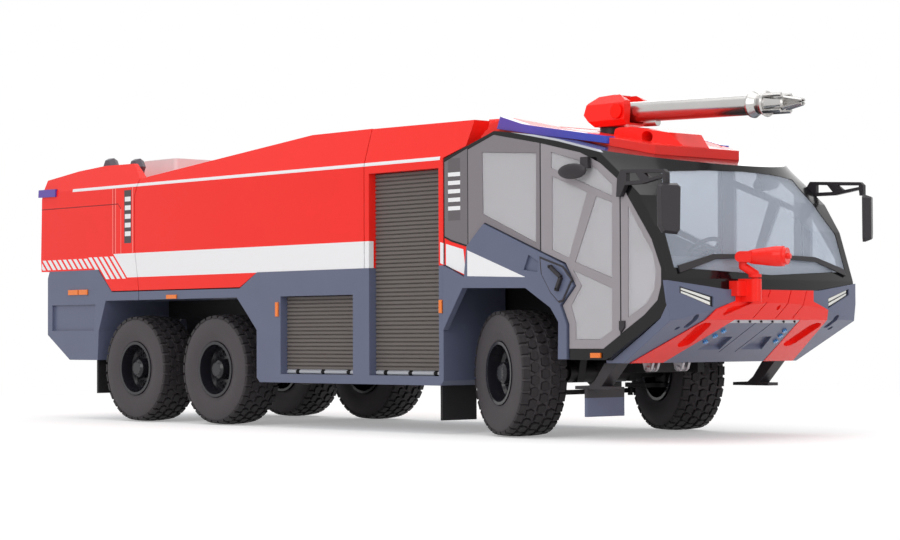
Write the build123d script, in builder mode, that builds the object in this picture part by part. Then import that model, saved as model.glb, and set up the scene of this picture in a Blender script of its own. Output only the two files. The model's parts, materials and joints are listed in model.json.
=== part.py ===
from build123d import *
import os
from math import cos, hypot, radians, sin

os.makedirs("parts", exist_ok=True)

# A 1:43 scale model of a six-wheeled airport fire truck, in millimetres.
# X points forward, Y to the truck's left and Z up. The origin is on the ground, under the middle of the
# model's length and width. The front wheels rest steered to the right, as the model is displayed.

# Wheels and axles
front_axle_x = 72.0
wheelbase = 121.8
bogie_spacing = 40.2
tyre_radius = 16.0
tyre_width = 12.5
tyre_inset = 0.2
arch_clearance = 4.6
lintel_depth = 1.4
rim_radius = 8.0
rim_wall = 0.8
rim_web = 1.4
dish_depth = 4.6
hub_radius = 3.0
rod_radius = 1.2
running_gap = 0.08
toy_gap = 0.4

# Steering: the kingpins stand inside the rims, and the wheels are parked turned to the right
kingpin_depth = 10.2
kingpin_radius = 0.9
rest_steer = 20.0
steer_arm = 8.0
arm_rim_gap = 3.7
yoke_height = 9.0
yoke_plate = 1.2

# Lengths along the body
front_overhang = 58.0
cab_rear_reach = 22.5
pump_length = 31.5
tank_length = 106.7
rear_length = 52.8

# Widths and heights
body_half_width = 34.6
roof_z = 81.2
shoulder_drop = 9.9
shoulder_lean = 0.3
frame_depth = 7.0
rail_inner_y = 8.5
rail_width = 2.5
locker_inner_y = 12.5
skirt_low_z = 12.6
skirt_rise = 5.6
rear_rise = 8.2
belt_rise = 1.2
panel_gap = 0.3

# Shutters
recess_depth = 3.4
shutter_thickness = 1.1
slat_pitch = 1.08
slat_relief = 0.4
shutter_low_z = 15.0
tall_shutter_drop = 12.4
tall_shutter_width = 27.8
small_shutter_drop = 7.0
small_shutter_width = 31.4

# Cab shell
cab_wall = 1.2
glass_thickness = 0.6
glass_inset = 0.15
fit_gap = 0.05
side_relief = 0.1
fender_proud = 0.5
fender_gap = 0.45

# Bumper
bumper_low_z = 18.7
bumper_proud = 0.6

# Roof monitor
monitor_x = 4.7
swivel_radius = 3.2
swivel_drawn_z = 77.4
swivel_height = 1.8
swivel_gap = 0.3
barrel_radius = 2.65
barrel_length = 40.6
nozzle_length = 15.6
housing_half_width = 5.3
housing_length = 14.6
barrel_slope = 1.6

# Places worked out from the sizes above
middle_axle_x = front_axle_x - wheelbase
rear_axle_x = middle_axle_x - bogie_spacing
cab_front_x = front_axle_x + front_overhang
cab_x = front_axle_x - cab_rear_reach
pump_x = cab_x - pump_length
tank_x = pump_x - tank_length
rear_x = tank_x - rear_length
axle_z = tyre_radius
tyre_face_y = body_half_width - tyre_inset
wheel_y = tyre_face_y - tyre_width / 2
kingpin_y = tyre_face_y - kingpin_depth
lintel_low_z = 2 * tyre_radius + arch_clearance
frame_top_z = lintel_low_z + lintel_depth
frame_low_z = frame_top_z - frame_depth
skirt_top_z = frame_top_z + skirt_rise
rear_low_z = frame_top_z + rear_rise
belt_z = frame_top_z + belt_rise
shoulder_z = roof_z - shoulder_drop
bumper_half_width = body_half_width + bumper_proud
cut_y = body_half_width + 6

# The side-view tables below are drawn for one set of reaches and heights, and follow the sizes above
drawn_reaches = [
    # distance ahead of the front axle as drawn, as built
    (-22.5, -cab_rear_reach),
    (-7.0, 15.5 - cab_rear_reach),
    (13.0, 13.0),
    (58.0, front_overhang),
]
drawn_heights = [
    # height as drawn, as built
    (0.0, 0.0),
    (38.0, frame_top_z),
    (81.2, roof_z),
]


def follow(value, table):
    """A drawn value moved with the nearest two rows of its table."""
    for row, (end, _) in enumerate(table[1:]):
        if value <= end:
            break
    (low, low_built), (high, high_built) = table[row : row + 2]
    return low_built + (value - low) * (high_built - low_built) / (high - low)


def reach(x):
    """Place along the model of a drawn distance ahead of the front axle."""
    return front_axle_x + follow(x, drawn_reaches)


def level(z):
    """Height of a drawn height."""
    return follow(z, drawn_heights)


def ahead(points):
    """Side-view points as drawn from the front axle, moved to the model's frame."""
    return [(reach(x), level(z)) for x, z in points]


def raised(points):
    """Side-view or front-view points whose heights are as drawn."""
    return [(place, level(z)) for place, z in points]


def body_section(low_z, top_z):
    """Front view of the upright sides with the shoulders that lean in above the shoulder line."""
    top_y = body_half_width - shoulder_lean * max(top_z - shoulder_z, 0)
    bend_z = min(shoulder_z, top_z)
    return [
        (-body_half_width, low_z),
        (body_half_width, low_z),
        (body_half_width, bend_z),
        (top_y, top_z),
        (-top_y, top_z),
        (-body_half_width, bend_z),
    ]


def save(piece, name):
    """Label a finished piece and write its file."""
    piece.label = name
    export_step(piece, "parts/" + name + ".step")


# Chassis: two side rails that drop at the front, tied by cross members, with the transfer box
rail_front_x = reach(26.0)
rail_drop_x = front_axle_x + 9.0
rail_step_x = front_axle_x + 19.5
front_rail_low_z = 16.0
rail_rear_x = rear_axle_x - 15.0
cross_member_length = 5.0
transfer_box_x = cab_x - 8.0
transfer_box_length = 18.0
transfer_box_half_width = 6.5
transfer_box_low_z = 11.5
cross_members = [
    # x, low z, top z
    (rear_axle_x - 11, frame_low_z, frame_top_z),
    (rear_axle_x + bogie_spacing / 2, frame_low_z, frame_top_z),
    (middle_axle_x + 22, frame_low_z, frame_top_z),
    (transfer_box_x, frame_low_z, frame_top_z),
    (front_axle_x - 14, frame_low_z, frame_top_z),
    (rail_front_x - 6, front_rail_low_z, bumper_low_z),
]
with BuildPart() as chassis_frame:
    for side in (-1, 1):
        rail_y = side * (rail_inner_y + rail_width / 2)
        with BuildSketch(Plane.XZ.offset(-rail_y)):
            Polygon(
                (rail_rear_x, frame_top_z),
                (rail_step_x, frame_top_z),
                (rail_step_x, bumper_low_z),
                (rail_front_x, bumper_low_z),
                (rail_front_x, front_rail_low_z),
                (rail_drop_x + 6, front_rail_low_z),
                (rail_drop_x, frame_low_z),
                (rail_rear_x, frame_low_z),
                align=None,
            )
        extrude(amount=rail_width / 2, both=True)
    for x, low_z, top_z in cross_members:
        with Locations((x, 0, low_z)):
            Box(
                cross_member_length,
                2 * rail_inner_y + rail_width,
                top_z - low_z,
                align=(Align.CENTER, Align.CENTER, Align.MIN),
            )
    with BuildSketch(Plane.XZ):
        Polygon(
            (transfer_box_x - transfer_box_length / 2, frame_low_z - 4),
            (transfer_box_x - 3, frame_low_z + 1),
            (transfer_box_x + transfer_box_length / 2, frame_low_z + 1),
            (transfer_box_x + transfer_box_length / 2, transfer_box_low_z + 2),
            (transfer_box_x + transfer_box_length / 2 - 3, transfer_box_low_z),
            (transfer_box_x - transfer_box_length / 2, transfer_box_low_z),
            align=None,
        )
    extrude(amount=transfer_box_half_width, both=True)
save(chassis_frame.part, "chassis_frame")

# Axles: a tube with a differential bulge, hung from the rails by two brackets, with its prop shaft
casing_radius = 2.6
differential_radius = 5.0
shaft_radius = 1.2
tyre_room = 0.6
casing_half_length = wheel_y - tyre_width / 2 - tyre_room
spring_y = rail_inner_y + rail_width + 1.6
spring_width = 3.0
spring_half_length = 14.0


def axle_brackets(x):
    """Two hanger plates from the rails down around the axle tube."""
    for side in (-1, 1):
        with BuildSketch(Plane.XZ.offset(-side * (rail_inner_y + rail_width / 2))) as plate:
            Polygon(
                (x - 6, frame_low_z),
                (x + 6, frame_low_z),
                (x + 2.2, axle_z - casing_radius),
                (x - 2.2, axle_z - casing_radius),
                align=None,
            )
        extrude(plate.sketch, amount=rail_width / 2, both=True)


def prop_shaft(start_x, end_x):
    """A shaft along the model at axle height, with a thicker joint at its far end."""
    direction = 1 if end_x > start_x else -1
    with BuildSketch(Plane.YZ.offset(start_x)) as shaft:
        with Locations((0, axle_z)):
            Circle(shaft_radius)
    extrude(shaft.sketch, amount=end_x - start_x)
    with BuildSketch(Plane.YZ.offset(end_x)) as joint:
        with Locations((0, axle_z)):
            Circle(2 * shaft_radius)
    extrude(joint.sketch, amount=-direction * 3.0)


rear_axles = [
    # name, x, where its shaft ends
    ("middle_axle", middle_axle_x, transfer_box_x - transfer_box_length / 2 - toy_gap),
    ("rear_axle", rear_axle_x, middle_axle_x - differential_radius - toy_gap),
]
for name, x, shaft_end_x in rear_axles:
    with BuildPart() as axle_casing:
        axle_brackets(x)
        with BuildSketch(Plane.XZ):
            with Locations((x, axle_z)):
                Circle(casing_radius)
        extrude(amount=casing_half_length, both=True)
        with Locations((x, 0, axle_z)):
            Sphere(differential_radius)
        prop_shaft(x + differential_radius - 1, shaft_end_x)
        for side in (-1, 1):
            with BuildSketch(Plane.XZ.offset(-side * spring_y)):
                Polygon(
                    (x - 4, axle_z + casing_radius - 1),
                    (x + 4, axle_z + casing_radius - 1),
                    (x + 4, axle_z + casing_radius + 1.4),
                    (x + spring_half_length, axle_z + casing_radius + 5),
                    (x + spring_half_length, axle_z + casing_radius + 7),
                    (x, axle_z + casing_radius + 4.2),
                    (x - spring_half_length, axle_z + casing_radius + 7),
                    (x - spring_half_length, axle_z + casing_radius + 5),
                    (x - 4, axle_z + casing_radius + 1.4),
                    align=None,
                )
            extrude(amount=-side * spring_width)
        with BuildSketch(Plane.XZ):
            with Locations((x, axle_z)):
                Circle(rod_radius + running_gap)
        extrude(amount=casing_half_length + 1, both=True, mode=Mode.SUBTRACT)
    save(axle_casing.part, name)

# Front axle beam: the tube ends in an upright eye for each kingpin
eye_radius = 2.2
eye_height = yoke_height - 2 * yoke_plate - 2 * swivel_gap
beam_radius = 1.8
front_differential_radius = 4.5
with BuildPart() as front_axle:
    axle_brackets(front_axle_x)
    with BuildSketch(Plane.XZ):
        with Locations((front_axle_x, axle_z)):
            Circle(beam_radius)
    extrude(amount=kingpin_y, both=True)
    with BuildSketch(Plane.XZ):
        with Locations((front_axle_x, axle_z)):
            Circle(casing_radius)
    extrude(amount=rail_inner_y + rail_width + 2.5, both=True)
    with Locations((front_axle_x, 0, axle_z)):
        Sphere(front_differential_radius)
    prop_shaft(
        front_axle_x - front_differential_radius + 1,
        transfer_box_x + transfer_box_length / 2 + toy_gap,
    )
    with Locations((front_axle_x, -kingpin_y, axle_z), (front_axle_x, kingpin_y, axle_z)):
        Cylinder(eye_radius, eye_height)
        Cylinder(kingpin_radius + running_gap, yoke_height, mode=Mode.SUBTRACT)
save(front_axle.part, "front_axle")

# Knuckles: a yoke round the axle's eye, its kingpin, the stub for the wheel and the steering arm.
# Each is made straight ahead at the origin of its kingpin and then turned to the parked angle.
stub_end = tyre_face_y - dish_depth - kingpin_y + 0.6
yoke_half_width = 2.4
yoke_web = 1.2
arm_inboard = kingpin_y - (tyre_face_y - tyre_width) + arm_rim_gap
arm_half_width = 1.2
arm_pin_radius = 0.7
arm_pin_length = 2.2
for name, side in (("knuckle_right", -1), ("knuckle_left", 1)):
    with BuildPart() as knuckle:
        web_y = side * (eye_radius + toy_gap + yoke_web / 2)
        with Locations((0, web_y, 0)):
            Box(2 * yoke_half_width, yoke_web, yoke_height)
        for end in (-1, 1):
            with Locations((0, 0, end * (yoke_height - yoke_plate) / 2)):
                Cylinder(yoke_half_width, yoke_plate)
                with Locations((0, web_y / 2, 0)):
                    Box(2 * yoke_half_width, abs(web_y), yoke_plate)
        Cylinder(kingpin_radius, yoke_height)
        with BuildSketch(Plane.XZ.offset(-side * (eye_radius + toy_gap))):
            Circle(rod_radius)
        extrude(amount=-side * (stub_end - eye_radius - toy_gap))
        with BuildSketch(Plane.XY.offset(-yoke_height / 2)):
            Polygon(
                (-1.6, 0),
                (1.6, 0),
                (1.0, -side * arm_inboard),
                (-steer_arm, -side * (arm_inboard + arm_half_width)),
                (-steer_arm, -side * (arm_inboard - arm_half_width)),
                (-1.6, -side * (arm_inboard - arm_half_width)),
                align=None,
            )
            with Locations((-steer_arm, -side * arm_inboard)):
                Circle(1.4)
        extrude(amount=yoke_plate)
        with Locations((-steer_arm, -side * arm_inboard, -yoke_height / 2)):
            Cylinder(arm_pin_radius, arm_pin_length, align=(Align.CENTER, Align.CENTER, Align.MAX))
    turned = knuckle.part.rotate(Axis.Z, -rest_steer)
    save(turned.translate((front_axle_x, side * kingpin_y, axle_z)), name)

# Track rod behind the axle, on the pins of the two steering arms. The arms splay, so the pins come
# nearer to each other as the wheels straighten, and the rod's right eye is a slot that lets them.
pin_turn = radians(-rest_steer)


def arm_pin(side):
    """Where the steering arm's pin stands when the wheels are parked turned."""
    x = -steer_arm
    y = -side * arm_inboard
    return (
        front_axle_x + x * cos(pin_turn) - y * sin(pin_turn),
        side * kingpin_y + x * sin(pin_turn) + y * cos(pin_turn),
    )


rod_thickness = 1.2
rod_width = 1.6
rod_top_z = axle_z - yoke_height / 2 - swivel_gap
eye_wall = 0.6
eye_side_play = 0.35
eye_end_play = 0.95
left_pin = arm_pin(1)
right_pin = arm_pin(-1)
rod_length = hypot(right_pin[0] - left_pin[0], right_pin[1] - left_pin[1])
rod_plane = Plane(
    origin=(left_pin[0], left_pin[1], rod_top_z),
    x_dir=(right_pin[0] - left_pin[0], right_pin[1] - left_pin[1], 0),
    z_dir=(0, 0, 1),
)
with BuildPart() as track_rod:
    with BuildSketch(rod_plane):
        Circle(arm_pin_radius + running_gap + eye_wall)
        with Locations((rod_length / 2, 0)):
            Rectangle(rod_length, rod_width)
        with Locations((rod_length, 0)):
            SlotCenterToCenter(2 * eye_end_play, 2 * (arm_pin_radius + eye_side_play + eye_wall))
        Circle(arm_pin_radius + running_gap, mode=Mode.SUBTRACT)
        with Locations((rod_length, 0)):
            SlotCenterToCenter(2 * eye_end_play, 2 * (arm_pin_radius + eye_side_play), mode=Mode.SUBTRACT)
    extrude(amount=-rod_thickness)
save(track_rod.part, "track_rod")

# Wheels: deep-dished rims with a hub and a ring of studs, and wide tyres. All are turned about Y.
stud_ring = 5.2
stud_count = 10


def rim_shape(side, bore):
    """A rim at the origin's axle line, with its outer face towards side."""
    with BuildPart() as rim:
        inner_y = tyre_face_y - tyre_width
        face_y = tyre_face_y - 0.3
        web_y = tyre_face_y - dish_depth
        with BuildSketch(Plane.YZ):
            Polygon(
                (side * inner_y, rim_radius),
                (side * face_y, rim_radius),
                (side * face_y, rim_radius - rim_wall),
                (side * (web_y + 0.8), rim_radius - 1.6 * rim_wall),
                (side * web_y, stud_ring + 1.0),
                (side * web_y, hub_radius),
                (side * (web_y + 3.2), hub_radius - 0.3),
                (side * (web_y + 3.8), hub_radius - 1.0),
                (side * (web_y + 3.8), 0),
                (side * (web_y - rim_web), 0),
                (side * (web_y - rim_web), rim_radius - 2 * rim_wall),
                (side * inner_y, rim_radius - rim_wall),
                align=None,
            )
        revolve(axis=Axis.Y)
        if bore:
            with BuildSketch(Plane.XZ.offset(-side * (web_y - rim_web))):
                Circle(rod_radius + running_gap)
            extrude(amount=-side * (rim_web + 1.0), mode=Mode.SUBTRACT)
        with BuildSketch(Plane.XZ.offset(-side * web_y)):
            with PolarLocations(stud_ring, stud_count):
                RegularPolygon(0.42, 6)
        extrude(amount=-side * 0.5)
    return rim.part


def tyre_shape(side):
    """A tyre at the origin's axle line, crowned, with rounded shoulders."""
    with BuildPart() as tyre:
        half = tyre_width / 2
        with BuildSketch(Plane.YZ):
            with BuildLine():
                inner_foot = (wheel_y - half + 0.6, rim_radius)
                inner_bulge = (wheel_y - half, rim_radius + 3.5)
                inner_shoulder = (wheel_y - half + 1.0, tyre_radius - 1.0)
                crown = (wheel_y, tyre_radius)
                outer_shoulder = (wheel_y + half - 1.0, tyre_radius - 1.0)
                outer_bulge = (wheel_y + half, rim_radius + 3.5)
                outer_foot = (wheel_y + half - 0.6, rim_radius)
                ThreePointArc(inner_foot, inner_bulge, inner_shoulder)
                ThreePointArc(inner_shoulder, crown, outer_shoulder)
                ThreePointArc(outer_shoulder, outer_bulge, outer_foot)
                Line(outer_foot, inner_foot)
            make_face()
        revolve(axis=Axis.Y)
    return tyre.part if side > 0 else tyre.part.mirror(Plane.XZ)


for corner, side in (("right", -1), ("left", 1)):
    kingpin = (front_axle_x, side * kingpin_y, axle_z)
    for piece, shape in (("rim", rim_shape(side, True)), ("tyre", tyre_shape(side))):
        straight = shape.translate((0, -side * kingpin_y, 0))
        save(straight.rotate(Axis.Z, -rest_steer).translate(kingpin), "front_" + piece + "_" + corner)

for place, x in (("middle", middle_axle_x), ("rear", rear_axle_x)):
    with BuildPart() as wheelset:
        add(rim_shape(-1, False))
        add(rim_shape(1, False))
        with BuildSketch(Plane.XZ):
            Circle(rod_radius)
        extrude(amount=tyre_face_y - dish_depth - rim_web / 2, both=True)
    save(wheelset.part.translate((x, 0, axle_z)), place + "_rims_and_rod")
    for corner, side in (("right", -1), ("left", 1)):
        save(tyre_shape(side).translate((x, 0, axle_z)), place + "_tyre_" + corner)

# Rear body module: its front edge bends along the joint with the tank body, and the roof sinks to a
# deck between raised sides behind the joint
joint_steps = [
    # x from the tank's rear edge, z
    (1.5, level(73.2)),
    (-0.8, level(68.0)),
    (-0.8, level(52.0)),
    (1.4, belt_z + panel_gap),
]
rear_side_points = [
    (rear_x + 0.3, rear_low_z),
    (rear_x, rear_low_z + 4),
    (rear_x + 0.5, level(69.2)),
    (rear_x + 2.1, level(75.3)),
    (rear_x + 19.3, level(77.4)),
    (rear_x + 33.3, level(78.3)),
    (tank_x - 3.9, level(78.1)),
]
deck_x = rear_x + 28.5
deck_z = level(72.6)
deck_half_width = body_half_width - 3.4
with BuildPart() as rear_module:
    with BuildSketch(Plane.XZ):
        Polygon(
            *rear_side_points,
            *[(tank_x + x - panel_gap / 2, z) for x, z in joint_steps],
            (tank_x - 13.0, belt_z + panel_gap),
            (tank_x - 20.0, rear_low_z),
            align=None,
        )
    extrude(amount=body_half_width, both=True)
    with BuildSketch(Plane.YZ):
        Polygon(*body_section(frame_top_z, roof_z), align=None)
    extrude(amount=abs(rear_x) + body_half_width, both=True, mode=Mode.INTERSECT)
    with BuildSketch(Plane.XY.offset(deck_z)):
        with Locations((deck_x, 0)):
            Rectangle(
                tank_x - deck_x + 4,
                2 * deck_half_width,
                align=(Align.MIN, Align.CENTER),
            )
    extrude(amount=roof_z, mode=Mode.SUBTRACT)
save(rear_module.part, "rear_module")

# Tank body: its roof climbs from the joint to a kink and runs level to the pump module
skirt_rise_x = middle_axle_x + 12.6
skirt_rise_run = 8.1
roof_kink_x = pump_x - 25.6
tank_joint = [(tank_x + x + panel_gap / 2, z) for x, z in reversed(joint_steps)]
with BuildPart() as tank_body:
    with BuildSketch(Plane.XZ):
        Polygon(
            *tank_joint,
            (roof_kink_x, roof_z),
            (pump_x - panel_gap, roof_z),
            (pump_x - panel_gap, skirt_top_z),
            (skirt_rise_x + skirt_rise_run, skirt_top_z),
            (skirt_rise_x, belt_z + panel_gap),
            align=None,
        )
    extrude(amount=body_half_width, both=True)
    with BuildSketch(Plane.YZ):
        Polygon(*body_section(frame_top_z, roof_z), align=None)
    extrude(amount=abs(rear_x), both=True, mode=Mode.INTERSECT)
save(tank_body.part, "tank_body")

# Pump module between tank and cab, with the upper part of each tall shutter's opening.
# Its front reaches forward over the cab's rising roof.
tall_shutter_x = cab_x - 1.9 - tall_shutter_width / 2
tall_shutter_top_z = roof_z - tall_shutter_drop
with BuildPart() as pump_module:
    with BuildSketch(Plane.XZ):
        Polygon(
            (pump_x, skirt_top_z),
            (cab_x - panel_gap / 2, skirt_top_z),
            (cab_x - panel_gap / 2, level(71.3)),
            (cab_x + 7.8, level(73.9)),
            (cab_x + 9.0, level(80.7)),
            (pump_x, roof_z - 0.1),
            align=None,
        )
    extrude(amount=body_half_width, both=True)
    with BuildSketch(Plane.YZ):
        Polygon(*body_section(frame_top_z, roof_z), align=None)
    extrude(amount=abs(rear_x), both=True, mode=Mode.INTERSECT)
    for side in (-1, 1):
        with BuildSketch(Plane.XZ.offset(-side * body_half_width)):
            with Locations((tall_shutter_x, tall_shutter_top_z)):
                Rectangle(tall_shutter_width, roof_z, align=(Align.CENTER, Align.MAX))
        extrude(amount=side * recess_depth, mode=Mode.SUBTRACT)
save(pump_module.part, "pump_module")

# Rear lower box: a full-width box behind the wheels with the arch's rear edge and lintels over the arch
rear_box_low_z = 18.4
rear_arch_x = rear_axle_x - 15.0
rear_box_back_x = rear_x + 4.0
side_recess = 0.8
grille_pitch = 2.0
with BuildPart() as rear_lower_box:
    with BuildSketch(Plane.XZ):
        Polygon(
            (rear_box_back_x, 26.2),
            (rear_box_back_x, level(44.0)),
            (rear_box_back_x + 1.0, rear_low_z),
            (tank_x - 20.5, rear_low_z),
            (tank_x - 13.0, belt_z),
            (rear_arch_x, belt_z),
            (rear_arch_x, lintel_low_z),
            (rear_arch_x - 3.8, 27.3),
            (rear_arch_x - 4.4, rear_box_low_z),
            (rear_box_back_x + 12.6, rear_box_low_z),
            align=None,
        )
    extrude(amount=body_half_width, both=True)
    for side in (-1, 1):
        with BuildSketch(Plane.XZ.offset(-side * body_half_width)):
            Polygon(
                (rear_arch_x - 1, lintel_low_z),
                (tank_x + 1.2, lintel_low_z),
                (tank_x + 1.2, belt_z),
                (rear_arch_x - 1, belt_z),
                align=None,
            )
        extrude(amount=side * (body_half_width - locker_inner_y))
        with BuildSketch(Plane.XZ.offset(-side * body_half_width)):
            Polygon(
                (rear_box_back_x + 2.6, level(27.5)),
                (rear_box_back_x + 2.6, level(35.5)),
                (rear_arch_x - 5.6, level(35.5)),
                (rear_arch_x - 6.4, level(27.5)),
                align=None,
            )
        extrude(amount=side * side_recess, mode=Mode.SUBTRACT)
    with BuildSketch(Plane.YZ.offset(rear_box_back_x)):
        for slot in range(5):
            with Locations((0, level(30.0) + slot * grille_pitch)):
                Rectangle(2 * body_half_width - 28, grille_pitch * 0.55)
    extrude(amount=side_recess, mode=Mode.SUBTRACT)
save(rear_lower_box.part, "rear_lower_box")

# Side lockers between the rear wheels and the cab, with the openings of both shutters
locker_x = middle_axle_x + 11.2
small_shutter_x = pump_x - 5.0 - small_shutter_width / 2
small_shutter_top_z = skirt_top_z - small_shutter_drop
with BuildPart() as side_lockers:
    for side in (-1, 1):
        with BuildSketch(Plane.XZ.offset(-side * body_half_width)):
            Polygon(
                (tank_x + 1.5, lintel_low_z),
                (locker_x, lintel_low_z),
                (locker_x + 4.3, lintel_low_z - 4.2),
                (locker_x + 9.3, lintel_low_z - 9.3),
                (locker_x + 9.3, skirt_low_z + 1.3),
                (locker_x + 10.7, skirt_low_z),
                (cab_x - 1.3, skirt_low_z),
                (cab_x - panel_gap / 2, skirt_low_z + 1.3),
                (cab_x - panel_gap / 2, skirt_top_z),
                (skirt_rise_x + skirt_rise_run, skirt_top_z),
                (skirt_rise_x, belt_z),
                (tank_x + 1.5, belt_z),
                align=None,
            )
        extrude(amount=side * (body_half_width - locker_inner_y))
        with BuildSketch(Plane.XZ.offset(-side * body_half_width)):
            with Locations((tall_shutter_x, shutter_low_z)):
                Rectangle(tall_shutter_width, roof_z, align=(Align.CENTER, Align.MIN))
            with Locations((small_shutter_x, shutter_low_z)):
                Rectangle(
                    small_shutter_width,
                    small_shutter_top_z - shutter_low_z,
                    align=(Align.CENTER, Align.MIN),
                )
        extrude(amount=side * recess_depth, mode=Mode.SUBTRACT)
save(side_lockers.part, "side_lockers")


# Roller shutters: a saw-toothed slat section drawn once and run along each opening
def shutter(x, width, low_z, top_z, side):
    """One closed shutter that fills its opening, with a ridge for each slat."""
    back_y = side * (body_half_width - recess_depth)
    face_y = side * (body_half_width - recess_depth + shutter_thickness)
    valley_y = face_y - side * slat_relief
    slats = int((top_z - low_z) / slat_pitch)
    pitch = (top_z - low_z - 2 * fit_gap) / slats
    points = [(back_y, low_z + fit_gap), (back_y, top_z - fit_gap)]
    for slat in range(slats, 0, -1):
        foot = low_z + fit_gap + (slat - 1) * pitch
        points += [
            (valley_y, foot + pitch),
            (face_y, foot + pitch * 0.85),
            (face_y, foot + pitch * 0.25),
            (valley_y, foot + pitch * 0.1),
        ]
    points.append((valley_y, low_z + fit_gap))
    with BuildSketch(Plane.YZ.offset(x - width / 2 + fit_gap)) as slats_section:
        Polygon(*points, align=None)
    extrude(slats_section.sketch, amount=width - 2 * fit_gap)


with BuildPart() as tall_shutters:
    for side in (-1, 1):
        shutter(tall_shutter_x, tall_shutter_width, shutter_low_z, tall_shutter_top_z, side)
save(tall_shutters.part, "tall_shutters")

with BuildPart() as small_shutters:
    for side in (-1, 1):
        shutter(small_shutter_x, small_shutter_width, shutter_low_z, small_shutter_top_z, side)
save(small_shutters.part, "small_shutters")

# Roof fittings: a pale box with rounded corners on the rear deck, and two six-sided lamps on posts
roof_box_x = rear_x + 31.5
roof_box_length = 17.4
roof_box_top_z = level(80.5)
roof_box_corner = 1.2
with BuildPart() as roof_box:
    with BuildSketch(Plane.XY.offset(deck_z)):
        with Locations((roof_box_x + roof_box_length / 2, 0)):
            RectangleRounded(roof_box_length, body_half_width, roof_box_corner)
    extrude(amount=roof_box_top_z - deck_z)
save(roof_box.part, "roof_box")

cap_radius = 2.95
cap_depth = 3.2
cap_taper = 24
cap_post_radius = 1.1
roof_caps_at = [
    # x, y, drawn height of the middle
    (rear_x + 25.4, -25.0, 78.9),
    (tank_x - 7.3, -29.0, 77.4),
]
with BuildPart() as roof_caps:
    for x, y, middle_z in roof_caps_at:
        for facing in (-1, 1):
            cap_plane = Plane(
                origin=(x, y, level(middle_z)),
                x_dir=(-facing, 0, 0),
                z_dir=(0, facing, 0),
            )
            with BuildSketch(cap_plane):
                RegularPolygon(cap_radius, 6)
            extrude(amount=cap_depth / 2, taper=cap_taper)
        with BuildSketch(Plane.XY.offset(deck_z)):
            with Locations((x, y)):
                Circle(cap_post_radius)
        extrude(amount=level(middle_z) - deck_z)
    add(rear_module.part, mode=Mode.SUBTRACT)
save(roof_caps.part, "roof_caps")

# Cab: a plan with a bowed front that steps back with height, cut to the side view
cab_half_width = body_half_width - side_relief
cab_stations = [
    # drawn height, drawn x of the side corner and of the bowed middle
    (19.5, 55.5, 58.0),
    (38.7, 55.3, 58.0),
    (51.2, 51.2, 53.6),
    (58.5, 46.5, 51.0),
    (64.3, 39.7, 48.9),
    (70.0, 32.5, 46.9),
    (78.5, 22.0, 43.8),
]
cab_side = [
    # drawn x and height, clockwise from the roof's rear end
    (-22.5, 71.0),
    (-3.5, 77.0),
    (10.3, 75.2),
    (19.0, 73.5),
    (35.5, 69.4),
    (60.0, 64.5),
    (60.0, 38.6),
    (52.6, 29.4),
    (46.2, 25.7),
    (35.0, 19.5),
    (20.5, 19.5),
    (20.5, 38.1),
    (-22.5, 38.1),
]


def cab_form(inset):
    """The cab's outer form, or the form that lies inset within its walls."""
    half = cab_half_width - inset
    with BuildPart() as form:
        for z, corner, middle in cab_stations:
            with BuildSketch(Plane.XY.offset(level(z))):
                with BuildLine():
                    front_right = (reach(corner) - inset, -half)
                    front_middle = (reach(middle) - inset, 0)
                    front_left = (reach(corner) - inset, half)
                    ThreePointArc(front_right, front_middle, front_left)
                    Line(front_left, (cab_x + inset, half))
                    Line((cab_x + inset, half), (cab_x + inset, -half))
                    Line((cab_x + inset, -half), front_right)
                make_face()
        loft(ruled=True)
        with BuildSketch(Plane.XZ):
            Polygon(*ahead(cab_side), align=None)
            if inset:
                offset(amount=-inset, kind=Kind.INTERSECTION)
        extrude(amount=body_half_width + 1, both=True, mode=Mode.INTERSECT)
    return form.part


cab_outer = cab_form(0)
with BuildPart() as cab_shell:
    add(cab_outer)
    add(cab_form(cab_wall), mode=Mode.SUBTRACT)
with BuildPart() as glass_shell:
    add(cab_form(glass_inset))
    add(cab_form(glass_inset + glass_thickness), mode=Mode.SUBTRACT)

# Side panels in side view, as drawn from the front axle: outlines and their window openings
fender_outline = ahead(
    [
        (-22.2, 43.5),
        (-14.3, 40.4),
        (-13.3, 48.2),
        (-7.0, 53.7),
        (21.4, 42.8),
        (24.8, 37.4),
        (20.2, 32.8),
        (22.4, 28.0),
        (22.4, 19.6),
        (19.4, 19.6),
        (19.6, 28.7),
        (16.9, 32.2),
        (8.1, 37.2),
        (-14.9, 37.6),
        (-22.2, 26.9),
    ]
)
handle_outline = ahead([(7.5, 41.7), (9.3, 45.4), (12.8, 43.6), (12.4, 41.0)])
white_patch_outline = ahead([(-22.2, 43.8), (-14.5, 40.7), (-13.5, 48.0), (-19.8, 49.6), (-22.2, 50.6)])
quarter_outline = ahead([(-22.2, 51.1), (-19.7, 50.1), (-13.5, 48.5), (-13.5, 73.2), (-22.2, 70.2)])
rear_panel_outline = ahead(
    [(-13.2, 48.6), (-7.1, 54.0), (12.8, 46.4), (12.8, 72.9), (-3.6, 76.0), (-13.2, 72.9)]
)
door_outline = ahead(
    [
        (13.2, 46.2),
        (21.7, 43.1),
        (25.2, 37.4),
        (20.6, 32.7),
        (22.8, 28.1),
        (22.8, 22.2),
        (34.2, 22.2),
        (39.8, 25.5),
        (39.8, 62.2),
        (33.4, 66.8),
        (26.8, 69.7),
        (13.2, 72.8),
    ]
)
front_quarter_outline = ahead(
    [(40.2, 25.9), (47.6, 30.2), (51.8, 33.6), (53.0, 37.2), (53.0, 41.0), (50.0, 48.0), (40.2, 61.5)]
)
rear_window = ahead([(-8.0, 71.9), (11.6, 70.5), (11.4, 48.3), (-7.7, 56.2)])
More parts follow.
